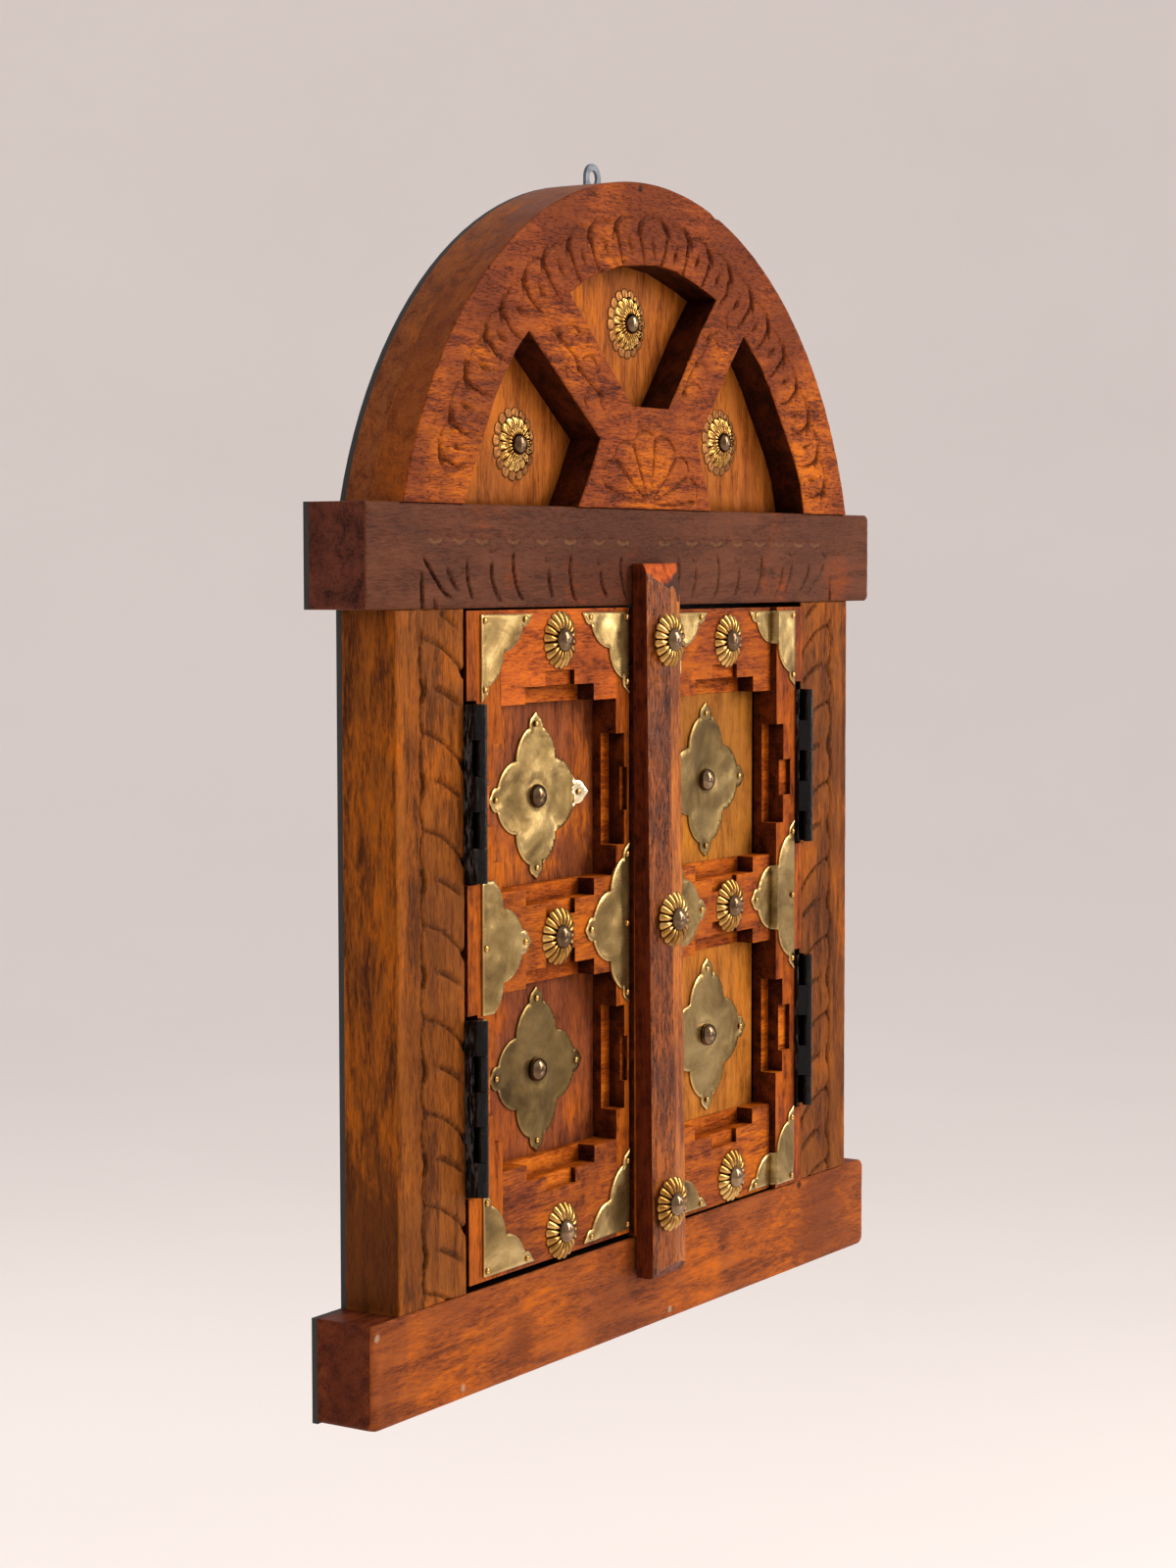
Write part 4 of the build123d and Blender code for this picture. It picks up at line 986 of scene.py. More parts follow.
# ------------------------------------------------------------------- leaves
LEAF_WOOD = {
    "left_leaf_outer_stile": red_wood(71, "z"),
    "left_leaf_meeting_stile": red_wood(72, "z", patch=(0.52, 0.74)),
    "left_leaf_top_rail": red_wood(73, "x", patch=(0.36, 0.55), glow=srgb(206, 104, 22), mid=srgb(150, 66, 22), light=srgb(178, 86, 30)),
    "left_leaf_middle_rail": red_wood(74, "x", patch=(0.46, 0.66)),
    "left_leaf_bottom_rail": red_wood(75, "x", patch=(0.55, 0.75), mid=srgb(122, 56, 26)),
    "right_leaf_outer_stile": red_wood(76, "z", patch=(0.52, 0.74), mid=srgb(130, 56, 24)),
    "right_leaf_meeting_stile": red_wood(77, "z"),
    "right_leaf_top_rail": red_wood(78, "x", patch=(0.50, 0.72), mid=srgb(136, 60, 26)),
    "right_leaf_middle_rail": red_wood(79, "x", mid=srgb(136, 58, 26)),
    "right_leaf_bottom_rail": red_wood(80, "x", mid=srgb(132, 60, 28)),
    "left_leaf_upper_panel": red_wood(81, "z", figure=2.6, patch=(0.50, 0.60), dark=srgb(84, 40, 20), mid=srgb(128, 64, 32), light=srgb(150, 82, 42), glow=srgb(204, 106, 12),
                                      spots=((-102, -92, 14), (-100, -150, 16), (-38, -112, 12), (-36, -136, 10)), shade=((-40, -150, 16),)),
    "left_leaf_lower_panel": red_wood(82, "z", figure=2.6, patch=(0.52, 0.62), dark=srgb(84, 40, 22), mid=srgb(124, 62, 34), light=srgb(146, 78, 42), glow=srgb(196, 98, 14),
                                      spots=((-96, -264, 16), (-100, -214, 10), (-40, -262, 12)), shade=((-40, -216, 18),)),
    "right_leaf_upper_panel": tan_wood(83, "z", dark=srgb(122, 70, 20), mid=srgb(156, 96, 32), light=srgb(176, 114, 44), glow=srgb(192, 118, 22)),
    "right_leaf_lower_panel": tan_wood(84, "z", dark=srgb(122, 68, 20), mid=srgb(158, 94, 32), light=srgb(180, 112, 42), glow=srgb(196, 114, 20)),
}
# a lighter copy of the red wood for notch floors and ledges (painted light) and a darker copy for notch walls (painted
# shade)
LIT_LEDGE_WOOD = red_wood(111, "x", dark=srgb(120, 48, 8), mid=srgb(170, 78, 14), light=srgb(198, 102, 22), glow=srgb(222, 124, 22), pores=0.7, grime=0.7, relief=1.6)
SHADED_NOTCH_WOOD = red_wood(113, "x", dark=srgb(36, 12, 3), mid=srgb(74, 28, 7), light=srgb(102, 42, 12), glow=srgb(120, 50, 10), grime=0.8, relief=1.8)
for node, mat in LEAF_WOOD.items():
    panel = node.endswith("panel")
    timber(node, mat, bevel=0.45, cuts=None if panel else (LIT_LEDGE_WOOD, SHADED_NOTCH_WOOD))

# -------------------------------------------------------------- cover strip
STRIP_XM, STRIP_TOP, STRIP_BOT, YB = 1.0, -24.0, -341.4, -30.9
STRIP_LEAN, STRIP_TAPER = math.radians(0.58), math.radians(0.29)


def strip_profile(u, z):
    """How far the strip stands out at u, from -1 to 1 across it."""
    if u < -0.043:
        f = 7.2 + 3.6 * (u + 1) / 0.957
    else:
        f = 10.8 - 3.4 * (u + 0.043) / 1.043
    # bevels at the ends
    v = (STRIP_TOP - z) / 11.5
    r = min(max((u - 0.1) / 0.8, 0), 1)
    r = r * r * (3 - 2 * r)
    top = 5.6 + 5.2 * v * (1 - 0.70 * r)
    w = (z - STRIP_BOT) / 6.0
    low = 6.4 + 4.4 * w * (1 - 0.45 * r)
    return min(f, top, low)


def strip_point(u, z, out):
    x, y = u * 13.8, -out
    zz = z
    # thicker towards the foot
    y = y - max(0.0, STRIP_TOP - z) * math.tan(STRIP_TAPER) if out > 0 else 0.0
    zc = (STRIP_TOP + STRIP_BOT) / 2
    dz = zz - zc
    xr = x * math.cos(STRIP_LEAN) - dz * math.sin(STRIP_LEAN)
    zr = dz * math.cos(STRIP_LEAN) + x * math.sin(STRIP_LEAN)
    return (STRIP_XM + xr, YB + y, zc + zr)


def make_strip():
    us = [-1.0, -0.985, -0.94] + list(np.linspace(-0.88, -0.10, 9)) + [-0.043] + list(np.linspace(0.02, 0.90, 10)) + [0.955, 0.99, 1.0]
    zs = list(np.linspace(STRIP_TOP, STRIP_TOP - 14, 22)) + list(np.linspace(STRIP_TOP - 17, STRIP_BOT + 11, 90)) + list(np.linspace(STRIP_BOT + 9, STRIP_BOT, 16))
    verts, faces, fm = [], [], []
    nu, nz = len(us), len(zs)
    P = np.array([(u * 13.8, z) for z in zs for u in us])
    n1 = value_noise(P * [1, 0.25], 0.30, 5) * 0.10
    k = 0
    for j, z in enumerate(zs):
        for i, u in enumerate(us):
            out = strip_profile(u, z) - 0.25 * (abs(u) > 0.98) - 0.08 * (0.95 < abs(u) <= 0.98) + (n1[k] if abs(u) < 0.95 else 0)
            if j in (0, nz - 1):
                out -= 0.35
            uu = u
            if z < STRIP_BOT + 5 and u > 0.5:      # the lower right corner is rubbed round
                q = (STRIP_BOT + 5 - z) / 5
                uu = u - 0.16 * q * q * (u - 0.5) / 0.5
            verts.append(strip_point(uu, z, out))
            k += 1
    for j in range(nz - 1):
        for i in range(nu - 1):
            a = j * nu + i
            faces.append((a, a + nu, a + nu + 1, a + 1))
            zc_, uc = (zs[j] + zs[j + 1]) / 2, (us[i] + us[i + 1]) / 2
            v = (STRIP_TOP - zc_)
            cut_top = strip_profile(uc, zc_) < (7.2 + 3.6 * (uc + 1) / 0.957 if uc < -0.043 else 10.8 - 3.4 * (uc + 0.043) / 1.043) - 0.02
            fm.append(1 if (cut_top and zc_ > -60) else (2 if cut_top else (4 if uc > -0.043 else 0)))
    # back vertices and sides
    base = len(verts)
    for j, z in enumerate(zs):
        for u in (-1.0, 1.0):
            verts.append(strip_point(u, z, 0.0))
    for j in range(nz - 1):
        a, b = base + 2 * j, base + 2 * (j + 1)
        faces.append((j * nu, a, b, (j + 1) * nu)); fm.append(3)
        faces.append((j * nu + nu - 1, (j + 1) * nu + nu - 1, b + 1, a + 1)); fm.append(3)
        faces.append((a, a + 1, b + 1, b)); fm.append(3)
    faces.append(tuple(range(0, nu)) + (base + 1, base)); fm.append(1)
    e = (nz - 1) * nu
    faces.append(tuple(range(e, e + nu))[::-1] + (base + 2 * (nz - 1), base + 2 * (nz - 1) + 1)); fm.append(2)
    # the left facet: a darker copy of the strip's red wood, painted shade, with a glossy coat
    glossy_shaded_facet = red_wood(91, "z", dark=srgb(58, 22, 7), mid=srgb(112, 52, 16), light=srgb(146, 76, 24), glow=srgb(176, 90, 14),
                      gloss=0.34, coat=0.45, patch=(0.46, 0.60), relief=3.2, spec=0.1)
    bare = Nodes("strip_top")
    n = bare.noise(bare.coords((220, 220, 220), (3, 1, 2)), 1.0, 3.0, 0.6)
    big = bare.noise(bare.coords((75, 75, 75), (5, 2, 7)), 1.0, 2.0, 0.5, 0.6)
    col = bare.ramp(n, [(0.35, srgb(136, 50, 10)), (0.6, srgb(196, 88, 14))])
    sep = bare.new("ShaderNodeSeparateXYZ")
    tc = bare.new("ShaderNodeTexCoord")
    bare.link(tc.outputs["Object"], sep.inputs[0])
    lowz = bare.math("ADD", sep.outputs[2], bare.math("MULTIPLY", big, 0.006))
    lowz = bare.math("SUBTRACT", lowz, bare.math("MULTIPLY", sep.outputs[0], 0.35))
    mark = bare.span(lowz, -0.0300, -0.0280, 1.0, 0.0)
    col = bare.mix(bare.math("MULTIPLY", mark, 0.92), col, srgb(34, 28, 26))
    bare.link(col, bare.bsdf.inputs["Base Color"])
    bare.set(Roughness=0.52, Specular_IOR_Level=0.1)
    bare.link(bare.bump(n, 0.4, 0.0005), bare.bsdf.inputs["Normal"])
    end = dark_wood(93, "z", mid=srgb(106, 62, 50), light=srgb(124, 76, 60))
    # the sides: a still darker copy, painted shade; the right facet: a lighter copy, painted light
    shaded_strip_sides = red_wood(95, "z", dark=srgb(40, 12, 6), mid=srgb(78, 28, 12), light=srgb(100, 40, 16), glow=srgb(116, 50, 18), gloss=0.34)
    lit_right_facet = red_wood(97, "z", dark=srgb(96, 42, 14), mid=srgb(150, 78, 24), light=srgb(178, 100, 34), glow=srgb(204, 116, 20), gloss=0.34,
                       patch=(0.44, 0.58), relief=1.5, contrast=1.3, pores=1.2, spec=0.2)
    return make("cover_strip", verts, faces, "right_leaf", [glossy_shaded_facet, bare.mat, end, shaded_strip_sides, lit_right_facet], replaces=("right_leaf_cover_strip",),
                slot="glossy_wood", flat_angle=22, face_mats=fm)


make_strip()

# ------------------------------------------------------------- brass plates
LOBE_R, LOBE_D = 15.5, 14.5


def quatrefoil_outline(step=5.0):
    """Quatrefoil with a pointed finial at the end of each lobe, anticlockwise from the right."""
    pts = []
    # each lobe's arc runs from one cusp to the next, broken by the finial's neck
    cusp = (LOBE_D + math.sqrt(2 * LOBE_R ** 2 - LOBE_D ** 2)) / 2
    a_cusp = math.degrees(math.atan2(cusp, cusp - LOBE_D))
    half_neck = 5.2
    a_neck = math.degrees(math.asin(half_neck / LOBE_R))
    tip = [(27.95 + 0.2, -5.2), (31.3, -5.0), (33.0, -3.9), (33.8, -2.6), (35.8, 0.0), (33.8, 2.6), (33.0, 3.9), (31.3, 5.0), (28.15, 5.2)]
    for k in range(4):
        lobe = []
        n = max(3, int((a_cusp - a_neck) / step))
        for i in range(n + 1):
            a = -a_cusp + (a_cusp - a_neck) * i / n
            lobe.append((LOBE_D + LOBE_R * math.cos(math.radians(a)), LOBE_R * math.sin(math.radians(a))))
        lobe += tip
        for i in range(n + 1):
            a = a_neck + (a_cusp - a_neck) * i / n
            lobe.append((LOBE_D + LOBE_R * math.cos(math.radians(a)), LOBE_R * math.sin(math.radians(a))))
        c, s = math.cos(math.pi / 2 * k), math.sin(math.pi / 2 * k)
        pts += [(x * c - y * s, x * s + y * c) for x, y in lobe[:-1]]
    return pts


QUATRE = quatrefoil_outline()


def clip(poly, axis, value, keep_greater):
    """Sutherland-Hodgman against x or z = value."""
    out = []
    n = len(poly)
    for i in range(n):
        a, b = poly[i], poly[(i + 1) % n]
        ia = a[axis] >= value if keep_greater else a[axis] <= value
        ib = b[axis] >= value if keep_greater else b[axis] <= value
        if ia:
            out.append(a)
        if ia != ib:
            t = (value - a[axis]) / (b[axis] - a[axis])
            out.append((a[0] + (b[0] - a[0]) * t, a[1] + (b[1] - a[1]) * t))
    clean = []
    for p in out:
        if not clean or math.hypot(p[0] - clean[-1][0], p[1] - clean[-1][1]) > 0.05:
            clean.append(p)
    if math.hypot(clean[0][0] - clean[-1][0], clean[0][1] - clean[-1][1]) < 0.05:
        clean.pop()
    return clean


def quadrant(sx, sz, wide=1.05):
    q = clip(clip(QUATRE, 0, 0.0, sx > 0), 1, 0.0, sz > 0)
    return [(x * wide, z) for x, z in q]


def half_plate(sx, reach):
    q = clip(QUATRE, 0, 0.0, sx > 0)
    if reach < 40:
        q = clip(clip(q, 1, reach, False), 1, -reach, True)
    return q


def sheet_mesh(poly, x, z, y_face, pins, nail, seed, thick=1.0, low=None, step=1.5, lift=0.10, bend=None):
    """
    A thin plate lying on y_face, a little uneven. pins and nail are holes' centres, dished in.
    low is (x where the plate steps down, sign of the high side, y of the low face).
    Returns vertices and faces.
    """
    loop = resample([(px + x, pz + z) for px, pz in poly], step)
    lo, hi = loop.min(0), loop.max(0)
    gx, gz = np.arange(lo[0], hi[0], step), np.arange(lo[1], hi[1], step)
    X, Z = np.meshgrid(gx, gz)
    G = np.c_[X.ravel(), Z.ravel()] + (np.random.RandomState(seed).rand(X.size, 2) - 0.5) * 0.3
    if low is not None:
        extra = [(low[0] + dx, zz) for zz in np.arange(lo[1], hi[1], step) for dx in (-1.3, -0.9, -0.3, 0.3, 0.9)]
        G = G[np.abs(G[:, 0] - low[0]) > 1.9]
        G = np.vstack([G, extra])
    G = G[inside(G, loop)]
    d = edge_distance(G, [loop])
    G = G[d > 0.75]
    nxt, prv = np.roll(loop, -1, axis=0), np.roll(loop, 1, axis=0)
    t = nxt - prv
    t = t / np.maximum(np.linalg.norm(t, axis=1)[:, None], 1e-9)
    area = 0.5 * np.sum(loop[:, 0] * nxt[:, 1] - nxt[:, 0] * loop[:, 1])
    ring = loop + np.c_[-t[:, 1], t[:, 0]] * (1 if area > 0 else -1) * 0.4
    ring = ring[inside(ring, loop) & (edge_distance(ring, [loop]) > 0.22)]
    P = np.vstack([loop, ring, G])
    n = len(loop)
    vs, _, fs, orig, _, _ = delaunay_2d_cdt([Vector(p) for p in P], [(i, (i + 1) % n) for i in range(n)], [], 0, 1e-4)
    V = np.array([(v.x, v.y) for v in vs])
    F = np.array([f for f in fs if len(f) == 3])
    F = F[inside(V[F].mean(1), loop)]
    first = {}
    for new, olds in enumerate(orig):
        for o in olds:
            first.setdefault(o, new)
    edge_ids = [first[i] for i in range(n)]
    on_edge = np.zeros(len(V), bool)
    on_edge[edge_ids] = True
    rise = lift * (value_noise(V, 0.055, seed) * 1.2 + value_noise(V, 0.13, seed + 3) * 0.5)
    dd = edge_distance(V, [loop])
    dd = np.minimum(dd, 3.0)
    rise = rise * np.clip(dd / 2.5, 0.0, 1.0) + 0.16 * np.clip(1 - np.abs(dd - 1.0) / 1.0, 0, 1)
    for px, pz in pins:
        r = np.hypot(V[:, 0] - px, V[:, 1] - pz)
        rise -= 0.25 * np.exp(-(r / 2.2) ** 2)
    if nail is not None:
        r = np.hypot(V[:, 0] - nail[0], V[:, 1] - nail[1])
        rise -= 0.30 * np.exp(-((r - 6.5) / 2.0) ** 2)
    rise = np.maximum(rise, -0.55) + np.where(on_edge, -0.22, 0.0)
    y = np.full(len(V), y_face - thick)
    yb_ = np.full(len(V), y_face)
    if low is not None:
        xs, sign, y_low = low
        s = np.clip(((V[:, 0] - xs) * sign + 0.9) / 0.9, 0, 1)     # 1 on the high side
        s = s * s * (3 - 2 * s)
        y = (y_low - thick) * (1 - s) + (y_face - thick) * s
        yb_ = y_low * (1 - s) + y_face * s
    front = y - rise
    if bend is not None:
        (bx, bz), direction, angle, start = bend
        along = (V[:, 0] - bx) * direction
        over = np.clip(along - start, 0, None)
        front = front - over * math.sin(angle)
        yb_ = yb_ - over * math.sin(angle)
    verts = [(v[0], f, v[1]) for v, f in zip(V, front)]
    faces = [tuple(f) for f in F]
    base = len(verts)
    verts += [(v[0], min(b, f + thick * 1.4) - 0.03, v[1]) for v, b, f in zip(V, yb_, front)]
    faces += [tuple(base + i for i in reversed(f)) for f in F]
    for i in range(n):
        a, b = edge_ids[i], edge_ids[(i + 1) % n]
        if a != b:
            faces.append((a, b, base + b, base + a))
    return verts, faces


def join(parts):
    verts, faces = [], []
    for v, f in parts:
        o = len(verts)
        verts += list(v)
        faces += [tuple(i + o for i in q) for q in f]
    return verts, faces


L_FRONT, R_FRONT, R_RAIL = -29.6, -30.9, -27.5
PF = {"left": L_FRONT + 12.4, "right": R_FRONT + 12.4}
pins = {"left": [], "right": []}
quatre = {"left": [(-71.5, -123.0), (-72.0, -240.6)], "right": [(68.0, -124.0), (69.5, -243.5)]}
for leaf in ("left", "right"):
    for k, (which, (x, z)) in enumerate(zip(("upper", "lower"), quatre[leaf])):
        spots = [(x, z + 30.8), (x, z - 30.8), (x + 30.8, z), (x - 30.8, z)]
        bend = ((x, z), 1, math.radians(24), 27.5) if (leaf, which) == ("left", "upper") else None
        v, f = sheet_mesh(QUATRE, x, z, PF[leaf], spots, (x, z), 100 + 10 * k + (leaf == "right"), bend=bend, lift=0.30)
        plate_mat = PLATE_DULL if (leaf, which) in (("left", "lower"), ("right", "upper")) else PLATE
        tip_highlight_faces = None
        # the bent finial's faces get the near-white brass, a painted highlight
        if bend:
            tip_highlight_faces = [1 if np.mean([v[i][0] for i in q]) > x + 28.2 else 0 for q in f]
        make(f"quatrefoil_{leaf}_{which}", v, f, leaf + "_leaf", [plate_mat, TIP_HIGHLIGHT] if bend else plate_mat, face_mats=tip_highlight_faces,
             replaces=(f"{leaf}_leaf_{which}_quatrefoil",), slot="aged_brass", flat_angle=40)
        for px, pz in spots:
            lift_ = (30.8 - 27.5) * math.sin(math.radians(24)) if bend and px > x + 10 else 0
            pins[leaf].append((px, pz, PF[leaf] - 1.0 - lift_))

CORNERS = {
    "left": [(-129.9, -45.0, 1, -1, None), (-16.3, -45.0, -1, -1, None), (-129.9, -318.5, 1, 1, None), (-16.3, -318.5, -1, 1, None)],
    "right": [(131.0, -46.2, -1, -1, (114.5, 1)), (16.8, -46.2, 1, -1, (25.5, -1)), (131.0, -321.0, -1, 1, (114.5, 1)), (16.8, -321.0, 1, 1, (25.5, -1))],
}
HALVES = {
    "left": [("hinge_side", -129.9, -182.0, 1, 27.6, None), ("meeting_side", -16.3, -182.0, -1, 50.0, None)],
    "right": [("hinge_side", 131.0, -182.5, -1, 50.0, (114.5, 1)), ("meeting_side", 18.0, -182.5, 1, 50.0, (25.5, -1))],
}
for leaf in ("left", "right"):
    yf = L_FRONT if leaf == "left" else R_FRONT
    made = []
    for k, (x, z, sx, sz, step_at) in enumerate(CORNERS[leaf]):
        low = None if step_at is None else (step_at[0], step_at[1], R_RAIL)
        spots = [(x + sx * 2.3, z + sz * 2.3), (x + sx * 31.8, z + sz * 2.1), (x + sx * 2.1, z + sz * 30.6)]
        made.append(sheet_mesh(quadrant(sx, sz), x, z, yf, spots, None, 200 + k, low=low, lift=0.22))
        for px, pz in spots:
            on_low = low is not None and (px - low[0]) * low[1] < 0
            pins[leaf].append((px, pz, (R_RAIL if on_low else yf) - 1.0))
    v, f = join(made)
    make(f"corner_plates_{leaf}", v, f, leaf + "_leaf", PLATE, replaces=(f"{leaf}_leaf_corner_plates",), slot="aged_brass", flat_angle=40)
    for k, (label, x, z, sx, reach, step_at) in enumerate(HALVES[leaf]):
        low = None if step_at is None else (step_at[0], step_at[1], R_RAIL)
        spots = [(x + sx * 2.3, z), (x + sx * 31.2, z)]
        if reach > 30:
            spots += [(x + sx * 2.1, z + 30.6), (x + sx * 2.1, z - 30.6)]
        v, f = sheet_mesh(half_plate(sx, reach), x, z, yf, spots, None, 300 + k, low=low, lift=0.26)
        make(f"half_plate_{leaf}_{label}", v, f, leaf + "_leaf", PLATE, replaces=(f"{leaf}_leaf_{label}_half_plate",), slot="aged_brass", flat_angle=40)
        for px, pz in spots:
            on_low = low is not None and (px - low[0]) * low[1] < 0
            pins[leaf].append((px, pz, (R_RAIL if on_low else yf) - 1.0))


def lathe(profile, cx, cz, seg=28, wobble=0.0, seed=0):
    """Turned shape about Y. profile is (radius, y) from the rim's back to the crown."""
    r_ = np.random.RandomState(seed)
    sx, sz = r_.uniform(-wobble, wobble, 2)
    verts, faces = [], []
    for r, y in profile:
        for k in range(seg):
            a = 2 * math.pi * k / seg
            verts.append((cx + r * math.cos(a) + sx * y * 0, y, cz + r * math.sin(a)))
    m = len(profile)
    for j in range(m - 1):
        for k in range(seg):
            a, b = j * seg + k, j * seg + (k + 1) % seg
            faces.append((a, b, b + seg, a + seg))
    faces.append(tuple(range(seg))[::-1])
    faces.append(tuple(range((m - 1) * seg, m * seg)))
    return verts, faces


def dome(x, z, y, r, h, seg=32, seed=0):
    prof = [(0.9, y + 3.0), (0.9, y + 0.05), (r * 0.93, y + 0.05), (r, y - 0.12), (r * 1.0, y - 0.32)]
    for k in range(1, 11):
        a = math.pi / 2 * k / 11
        prof.append((r * math.cos(a) ** 0.92, y - 0.32 - (h - 0.32) * math.sin(a)))
    prof.append((0.12, y - h))
    return lathe(prof, x, z, seg, 0, seed)


for leaf in ("left", "right"):
    parts = [dome(x, z, y, 1.35, 0.85, seg=12) for x, z, y in pins[leaf]]
    v, f = join(parts)
    make(f"plate_pins_{leaf}", v, f, leaf + "_leaf", BRIGHT, replaces=(f"{leaf}_leaf_plate_pins",), slot="aged_brass", flat_angle=60)


# ----------------------------------------------------------------- rosettes
def rosette(cx, cz, y, R, petals, high, hole=3.2, turn=0.0, lean=(0, 0), seed=0, kind="flute", tip=0.15, foot=0.45, crown=0.5):
    """
    Stamped brass flower, petals ending in round tips. In a flute the middle of each petal stands up; in a loop its rim does.
    high is the greatest height, at the fraction crown of the way out, foot the height at the tips.
    """
    per = 12
    n = petals * per
    rs = np.r_[np.linspace(hole, hole + (R - hole) * 0.3, 5), np.linspace(hole + (R - hole) * 0.38, R * 0.965, 11), R * 0.99, R]
    verts, faces = [], []
    r_ = np.random.RandomState(seed)
    var = r_.uniform(-1, 1, (petals, 2))
    for r in rs:
        t = (r - hole) / (R - hole)
        if t < crown:
            dome_ = 0.72 + 0.28 * math.sin(math.pi / 2 * t / crown)
        else:
            dome_ = math.cos(math.pi / 2 * (t - crown) / (1 - crown) * 0.92)
        for k in range(n):
            p = k // per
            u = 2 * (k % per) / per - 1
            a = 2 * math.pi * k / n + turn + var[p][0] * 0.012
            arc = math.sqrt(max(0.0, 1 - u * u))
            rr = r * (1 - tip * (1 - arc) * min(1.0, max(0.0, (t - 0.35) / 0.65)))
            if kind == "flute":
                shape = arc ** 1.1
            else:
                across = abs(u) / 0.92
                shape = 0.35 + 0.65 * max(0.0, 1 - ((across - 0.62) / 0.34) ** 2) if abs(u) < 0.92 else 0.0
                if t > 0.80 and abs(u) < 0.8:
                    shape = max(shape, 1 - abs((t - 0.90) / 0.12) * 0.6)
            hgt = foot + (high - foot) * max(0.0, dome_) * (0.40 + 0.60 * shape) - (0.28 if shape < 0.2 else 0) * t
            if r == rs[-1]:
                hgt -= 0.25
            hgt = max(0.10, hgt * (1 + 0.06 * var[p][1]))
            dx, dz = rr * math.cos(a), rr * math.sin(a)
            verts.append((cx + dx, y - hgt + lean[0] * dx + lean[1] * dz, cz + dz))
    m = len(rs)
    for j in range(m - 1):
        for k in range(n):
            a, b = j * n + k, j * n + (k + 1) % n
            faces.append((a, b, b + n, a + n))
    base = len(verts)
    for ring in (0, m - 1):
        for k in range(n):
            vx, vy, vz = verts[ring * n + k]
            verts.append((vx, y - 0.02 if ring == 0 else max(vy + 0.08, y - 0.02 - max(0.0, foot - 0.5)), vz))
    for k in range(n):
        k2 = (k + 1) % n
        faces.append((k, base + k, base + k2, k2))
        faces.append(((m - 1) * n + k, (m - 1) * n + k2, base + n + k2, base + n + k))
        faces.append((base + k, base + n + k, base + n + k2, base + k2))
    return verts, faces


SEAT = [-30.9 - 10.8 + 1.2 - (STRIP_TOP - z) * math.tan(STRIP_TAPER) for z in (-57.5, -181.5, -309.0)]
ROS = {
    ("left_leaf", "left_leaf_rosettes"): [(-71.0, -56.3, L_FRONT), (-72.7, -182.3, L_FRONT), (-70.5, -309.5, L_FRONT)],
    ("right_leaf", "right_leaf_rosettes"): [(74.0, -59.5, R_RAIL), (76.0, -183.0, R_RAIL), (78.0, -311.0, R_RAIL)],
    ("right_leaf", "cover_strip_rosettes"): [(0.5, -57.5, SEAT[0]), (3.2, -181.5, SEAT[1]), (0.6, -309.0, SEAT[2])],
}
domes = {"left_leaf": [], "right_leaf": [], "frame": []}
for (body, node), spots in ROS.items():
    parts = []
    for k, (x, z, y) in enumerate(spots):
        r_ = np.random.RandomState(int(abs(x * 7 + z * 3)))
        lean = tuple(r_.uniform(-0.035, 0.035, 2))
        parts.append(rosette(x, z, y, 12.5, 18, 3.0, hole=2.6, turn=r_.rand(), lean=lean, seed=k, crown=0.45, foot=0.35))
        domes[body].append((x, z, y - 2.0, 5.2, 3.7))
    v, f = join(parts)
    make("rosettes_" + node, v, f, body, BRIGHT, replaces=(node,), slot="bright_brass", flat_angle=75)

parts = []
for k, (x, z) in enumerate(((-84.4, 26.0), (4.8, 82.0), (85.9, 32.3))):
    r_ = np.random.RandomState(50 + k)
    turn = r_.rand()
    lean = tuple(r_.uniform(-0.03, 0.03, 2))
    parts.append(rosette(x, z, -15.4, 15.6, 16, 0.75, hole=6.0, turn=turn, seed=70 + k, tip=0.13, foot=0.35, kind="loop"))
    parts.append(rosette(x, z, -15.75, 12.2, 16, 2.0, hole=4.0, turn=turn + 0.19, lean=lean, seed=80 + k, kind="loop", foot=0.5, crown=0.55))
    parts.append(rosette(x, z, -16.6, 8.2, 24, 1.9, hole=2.6, turn=turn, lean=lean, seed=90 + k, kind="flute", foot=0.4, crown=0.5))
    domes["frame"].append((x, z, -15.4 - 2.3, 4.7, 3.7))
v, f = join(parts)
counts = [len(p[1]) for p in parts]
fm = []
for i, c in enumerate(counts):
    fm += [1 if i % 3 == 0 else 0] * c
make("rosettes_arch", v, f, "frame", [BRIGHT, RING], replaces=("arch_rosettes",), slot="bright_brass", flat_angle=75, face_mats=fm)

for (x, z) in quatre["left"]:
    domes["left_leaf"].append((x, z, PF["left"] - 0.9, 5.2, 3.9))
for (x, z) in quatre["right"]:
    domes["right_leaf"].append((x, z, PF["right"] - 0.9, 5.2, 3.9))
for body, node in (("left_leaf", "left_leaf_dome_nails"), ("right_leaf", "right_leaf_dome_nails"), ("frame", "arch_dome_nails")):
    v, f = join([dome(x, z, y, r, h, 36) for x, z, y, r, h in domes[body]])
    make("domes_" + node, v, f, body, NAIL, replaces=(node,), slot="bronze_nail", flat_angle=70)

# ---------------------------------------------------- hinges and other metal
for side in ("left", "right"):
    for which in ("upper", "lower"):
        for part in ("hinge_post_plate", "hinge_leaf_plate", "hinge_pin"):
            timber(f"{side}_{which}_{part}", HINGE, bevel=0.22)
    paint_node(f"{side}_hinge_leaf_screws", SCREW)
paint_node("hinge_post_screws", SCREW)
timber("wall_hanger", ZINC, bevel=0.25)
paint_node("wall_hanger_screws", SCREW)
paint_node("frame_dowels", red_wood(99, "z"))
timber("back_sheet", SHEET, bevel=0.3)


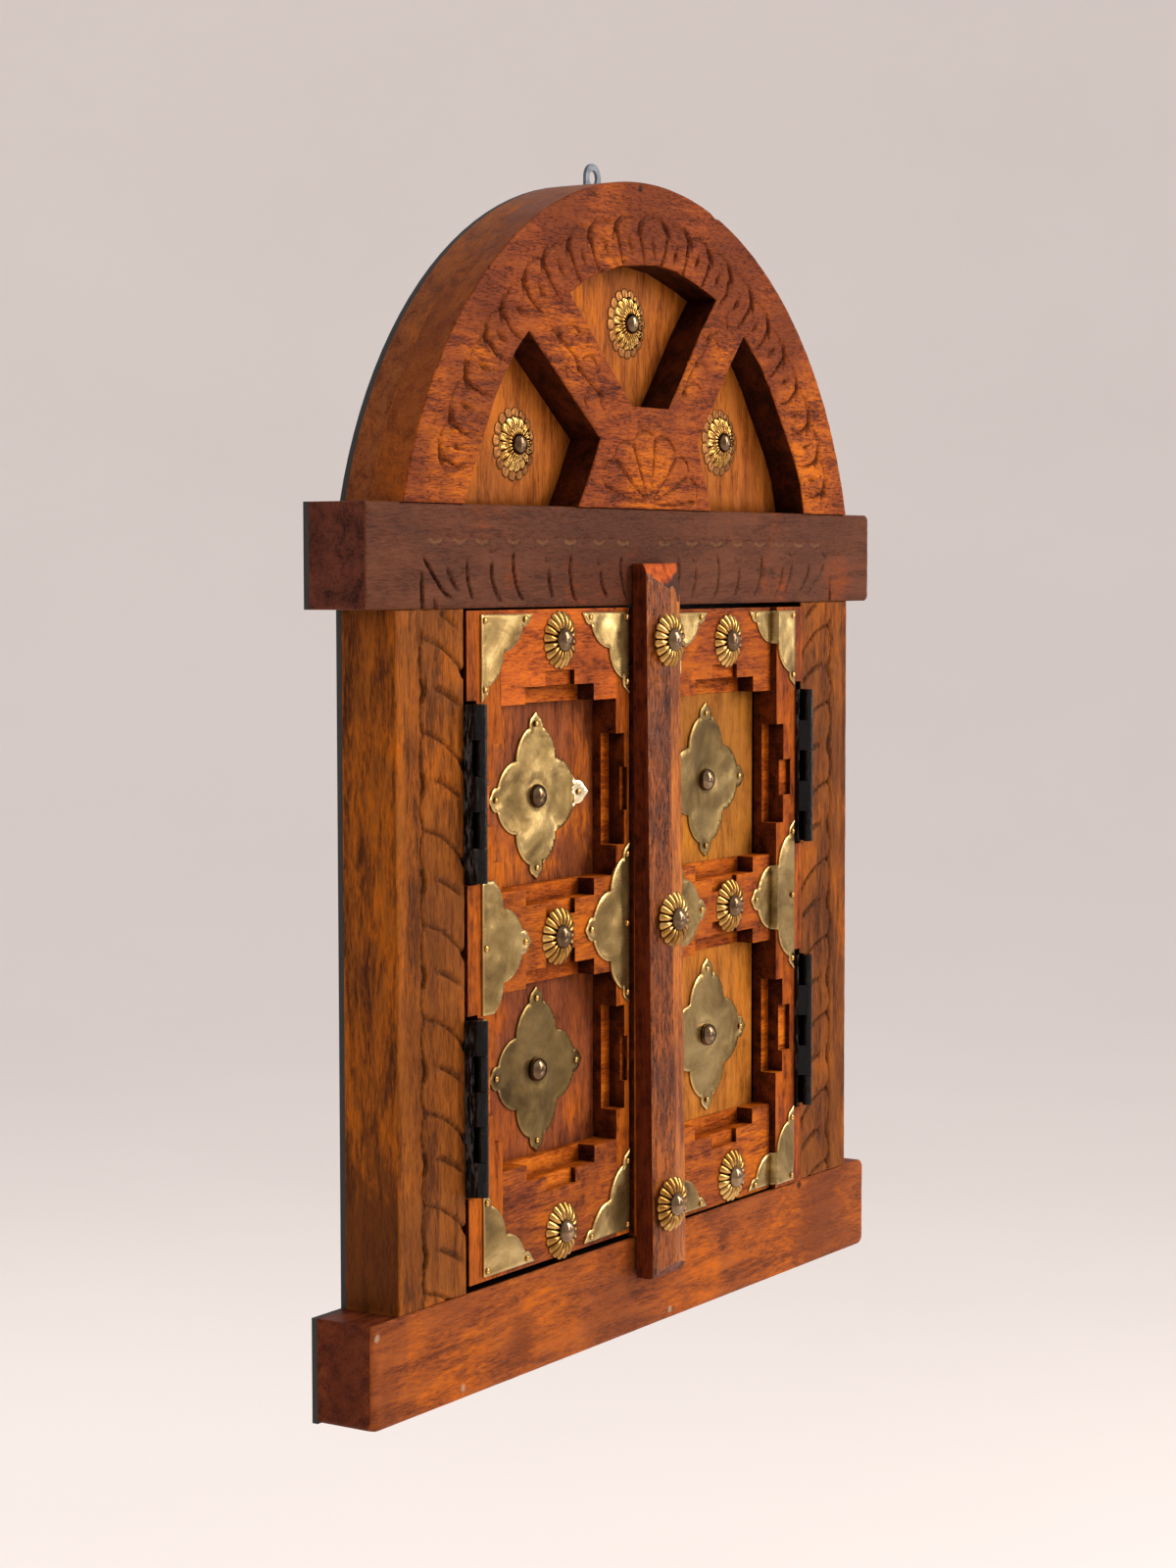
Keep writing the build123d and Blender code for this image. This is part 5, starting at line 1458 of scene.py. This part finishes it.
# --------------------------------------------------------- floor, light, camera
def studio():
    m = Nodes("floor")
    n = m.noise(m.coords((1.5, 1.5, 1.5)), 1.0, 3.0)
    m.link(m.ramp(n, [(0.3, (0.92, 0.865, 0.85)), (0.7, (0.94, 0.885, 0.87))]), m.bsdf.inputs["Base Color"])
    m.set(Roughness=0.9)
    # a wide floor that curves up far away, so that no horizon shows
    rings = [(0.0, -0.90), (1.5, -0.90), (3.0, -0.90), (4.4, -0.84), (5.6, -0.62), (6.6, -0.22), (7.4, 0.40), (7.9, 1.2), (8.2, 2.2), (8.35, 3.2)]
    seg = 72
    verts, faces = [(0, 0, rings[0][1])], []
    for r, z in rings[1:]:
        verts += [(r * math.cos(2 * math.pi * k / seg), r * math.sin(2 * math.pi * k / seg), z) for k in range(seg)]
    faces += [(0, 1 + k, 1 + (k + 1) % seg) for k in range(seg)]
    for j in range(len(rings) - 2):
        a, b = 1 + j * seg, 1 + (j + 1) * seg
        faces += [(a + k, b + k, b + (k + 1) % seg, a + (k + 1) % seg) for k in range(seg)]
    me = bpy.data.meshes.new("floor")
    me.from_pydata(verts, [], faces)
    me.materials.append(m.mat)
    me.polygons.foreach_set("use_smooth", [True] * len(faces))
    ob = bpy.data.objects.new("floor", me)
    bpy.context.scene.collection.objects.link(ob)

    w = bpy.data.worlds.new("studio")
    bpy.context.scene.world = w
    w.use_nodes = True
    nt = w.node_tree
    bg = nt.nodes["Background"]
    bg.inputs[0].default_value = (1.0, 0.955, 0.93, 1)
    bg.inputs[1].default_value = 0.69

    def area(name, loc, target, size, power, color=(1, 1, 1)):
        d = bpy.data.lights.new(name, "AREA")
        d.shape = "RECTANGLE"
        d.size, d.size_y = size
        d.energy = power
        d.color = color
        o = bpy.data.objects.new(name, d)
        bpy.context.scene.collection.objects.link(o)
        o.location = loc
        o.rotation_euler = (Vector(target) - Vector(loc)).to_track_quat("-Z", "Y").to_euler()
        return o

    area("key", (1.30, -1.95, 0.95), (0, 0, -0.1), (0.8, 1.5), 46, (1.0, 0.94, 0.85))
    area("window", (2.1, -1.55, 0.10), (0, 0, -0.15), (0.22, 0.9), 4, (1.0, 0.95, 0.88))
    area("glint", (1.02, -2.1, -0.02), (0, 0, -0.15), (0.22, 0.7), 3.5, (1.0, 0.95, 0.92))
    area("fill", (-2.0, -1.2, 0.5), (0, 0, -0.1), (1.3, 1.3), 8, (1.0, 0.95, 0.90)).visible_glossy = False
    area("back", (0.6, 2.2, 1.2), (0, 0, -0.1), (1.6, 1.6), 16, (1.0, 0.97, 0.95)).visible_glossy = False
    bpy.context.scene.view_settings.view_transform = "Standard"
    bpy.context.scene.view_settings.look = "None"
    bpy.context.scene.view_settings.exposure = 0.0

    cam = bpy.data.cameras.new("camera")
    cam.lens = 70.82
    cam.sensor_width = 36
    cam.sensor_fit = "AUTO"
    cam.clip_start = 0.05
    co = bpy.data.objects.new("camera", cam)
    bpy.context.scene.collection.objects.link(co)
    co.location = (-1.1634, -0.7479, -0.0270)
    yaw, pitch, roll = math.radians(57.2), math.radians(-3.96), -0.0015
    look = Vector((math.sin(yaw) * math.cos(pitch), math.cos(yaw) * math.cos(pitch), math.sin(pitch)))
    rot = look.to_track_quat("-Z", "Y").to_matrix() @ Matrix.Rotation(roll, 3, "Z")
    co.rotation_euler = rot.to_euler()
    bpy.context.scene.camera = co


studio()
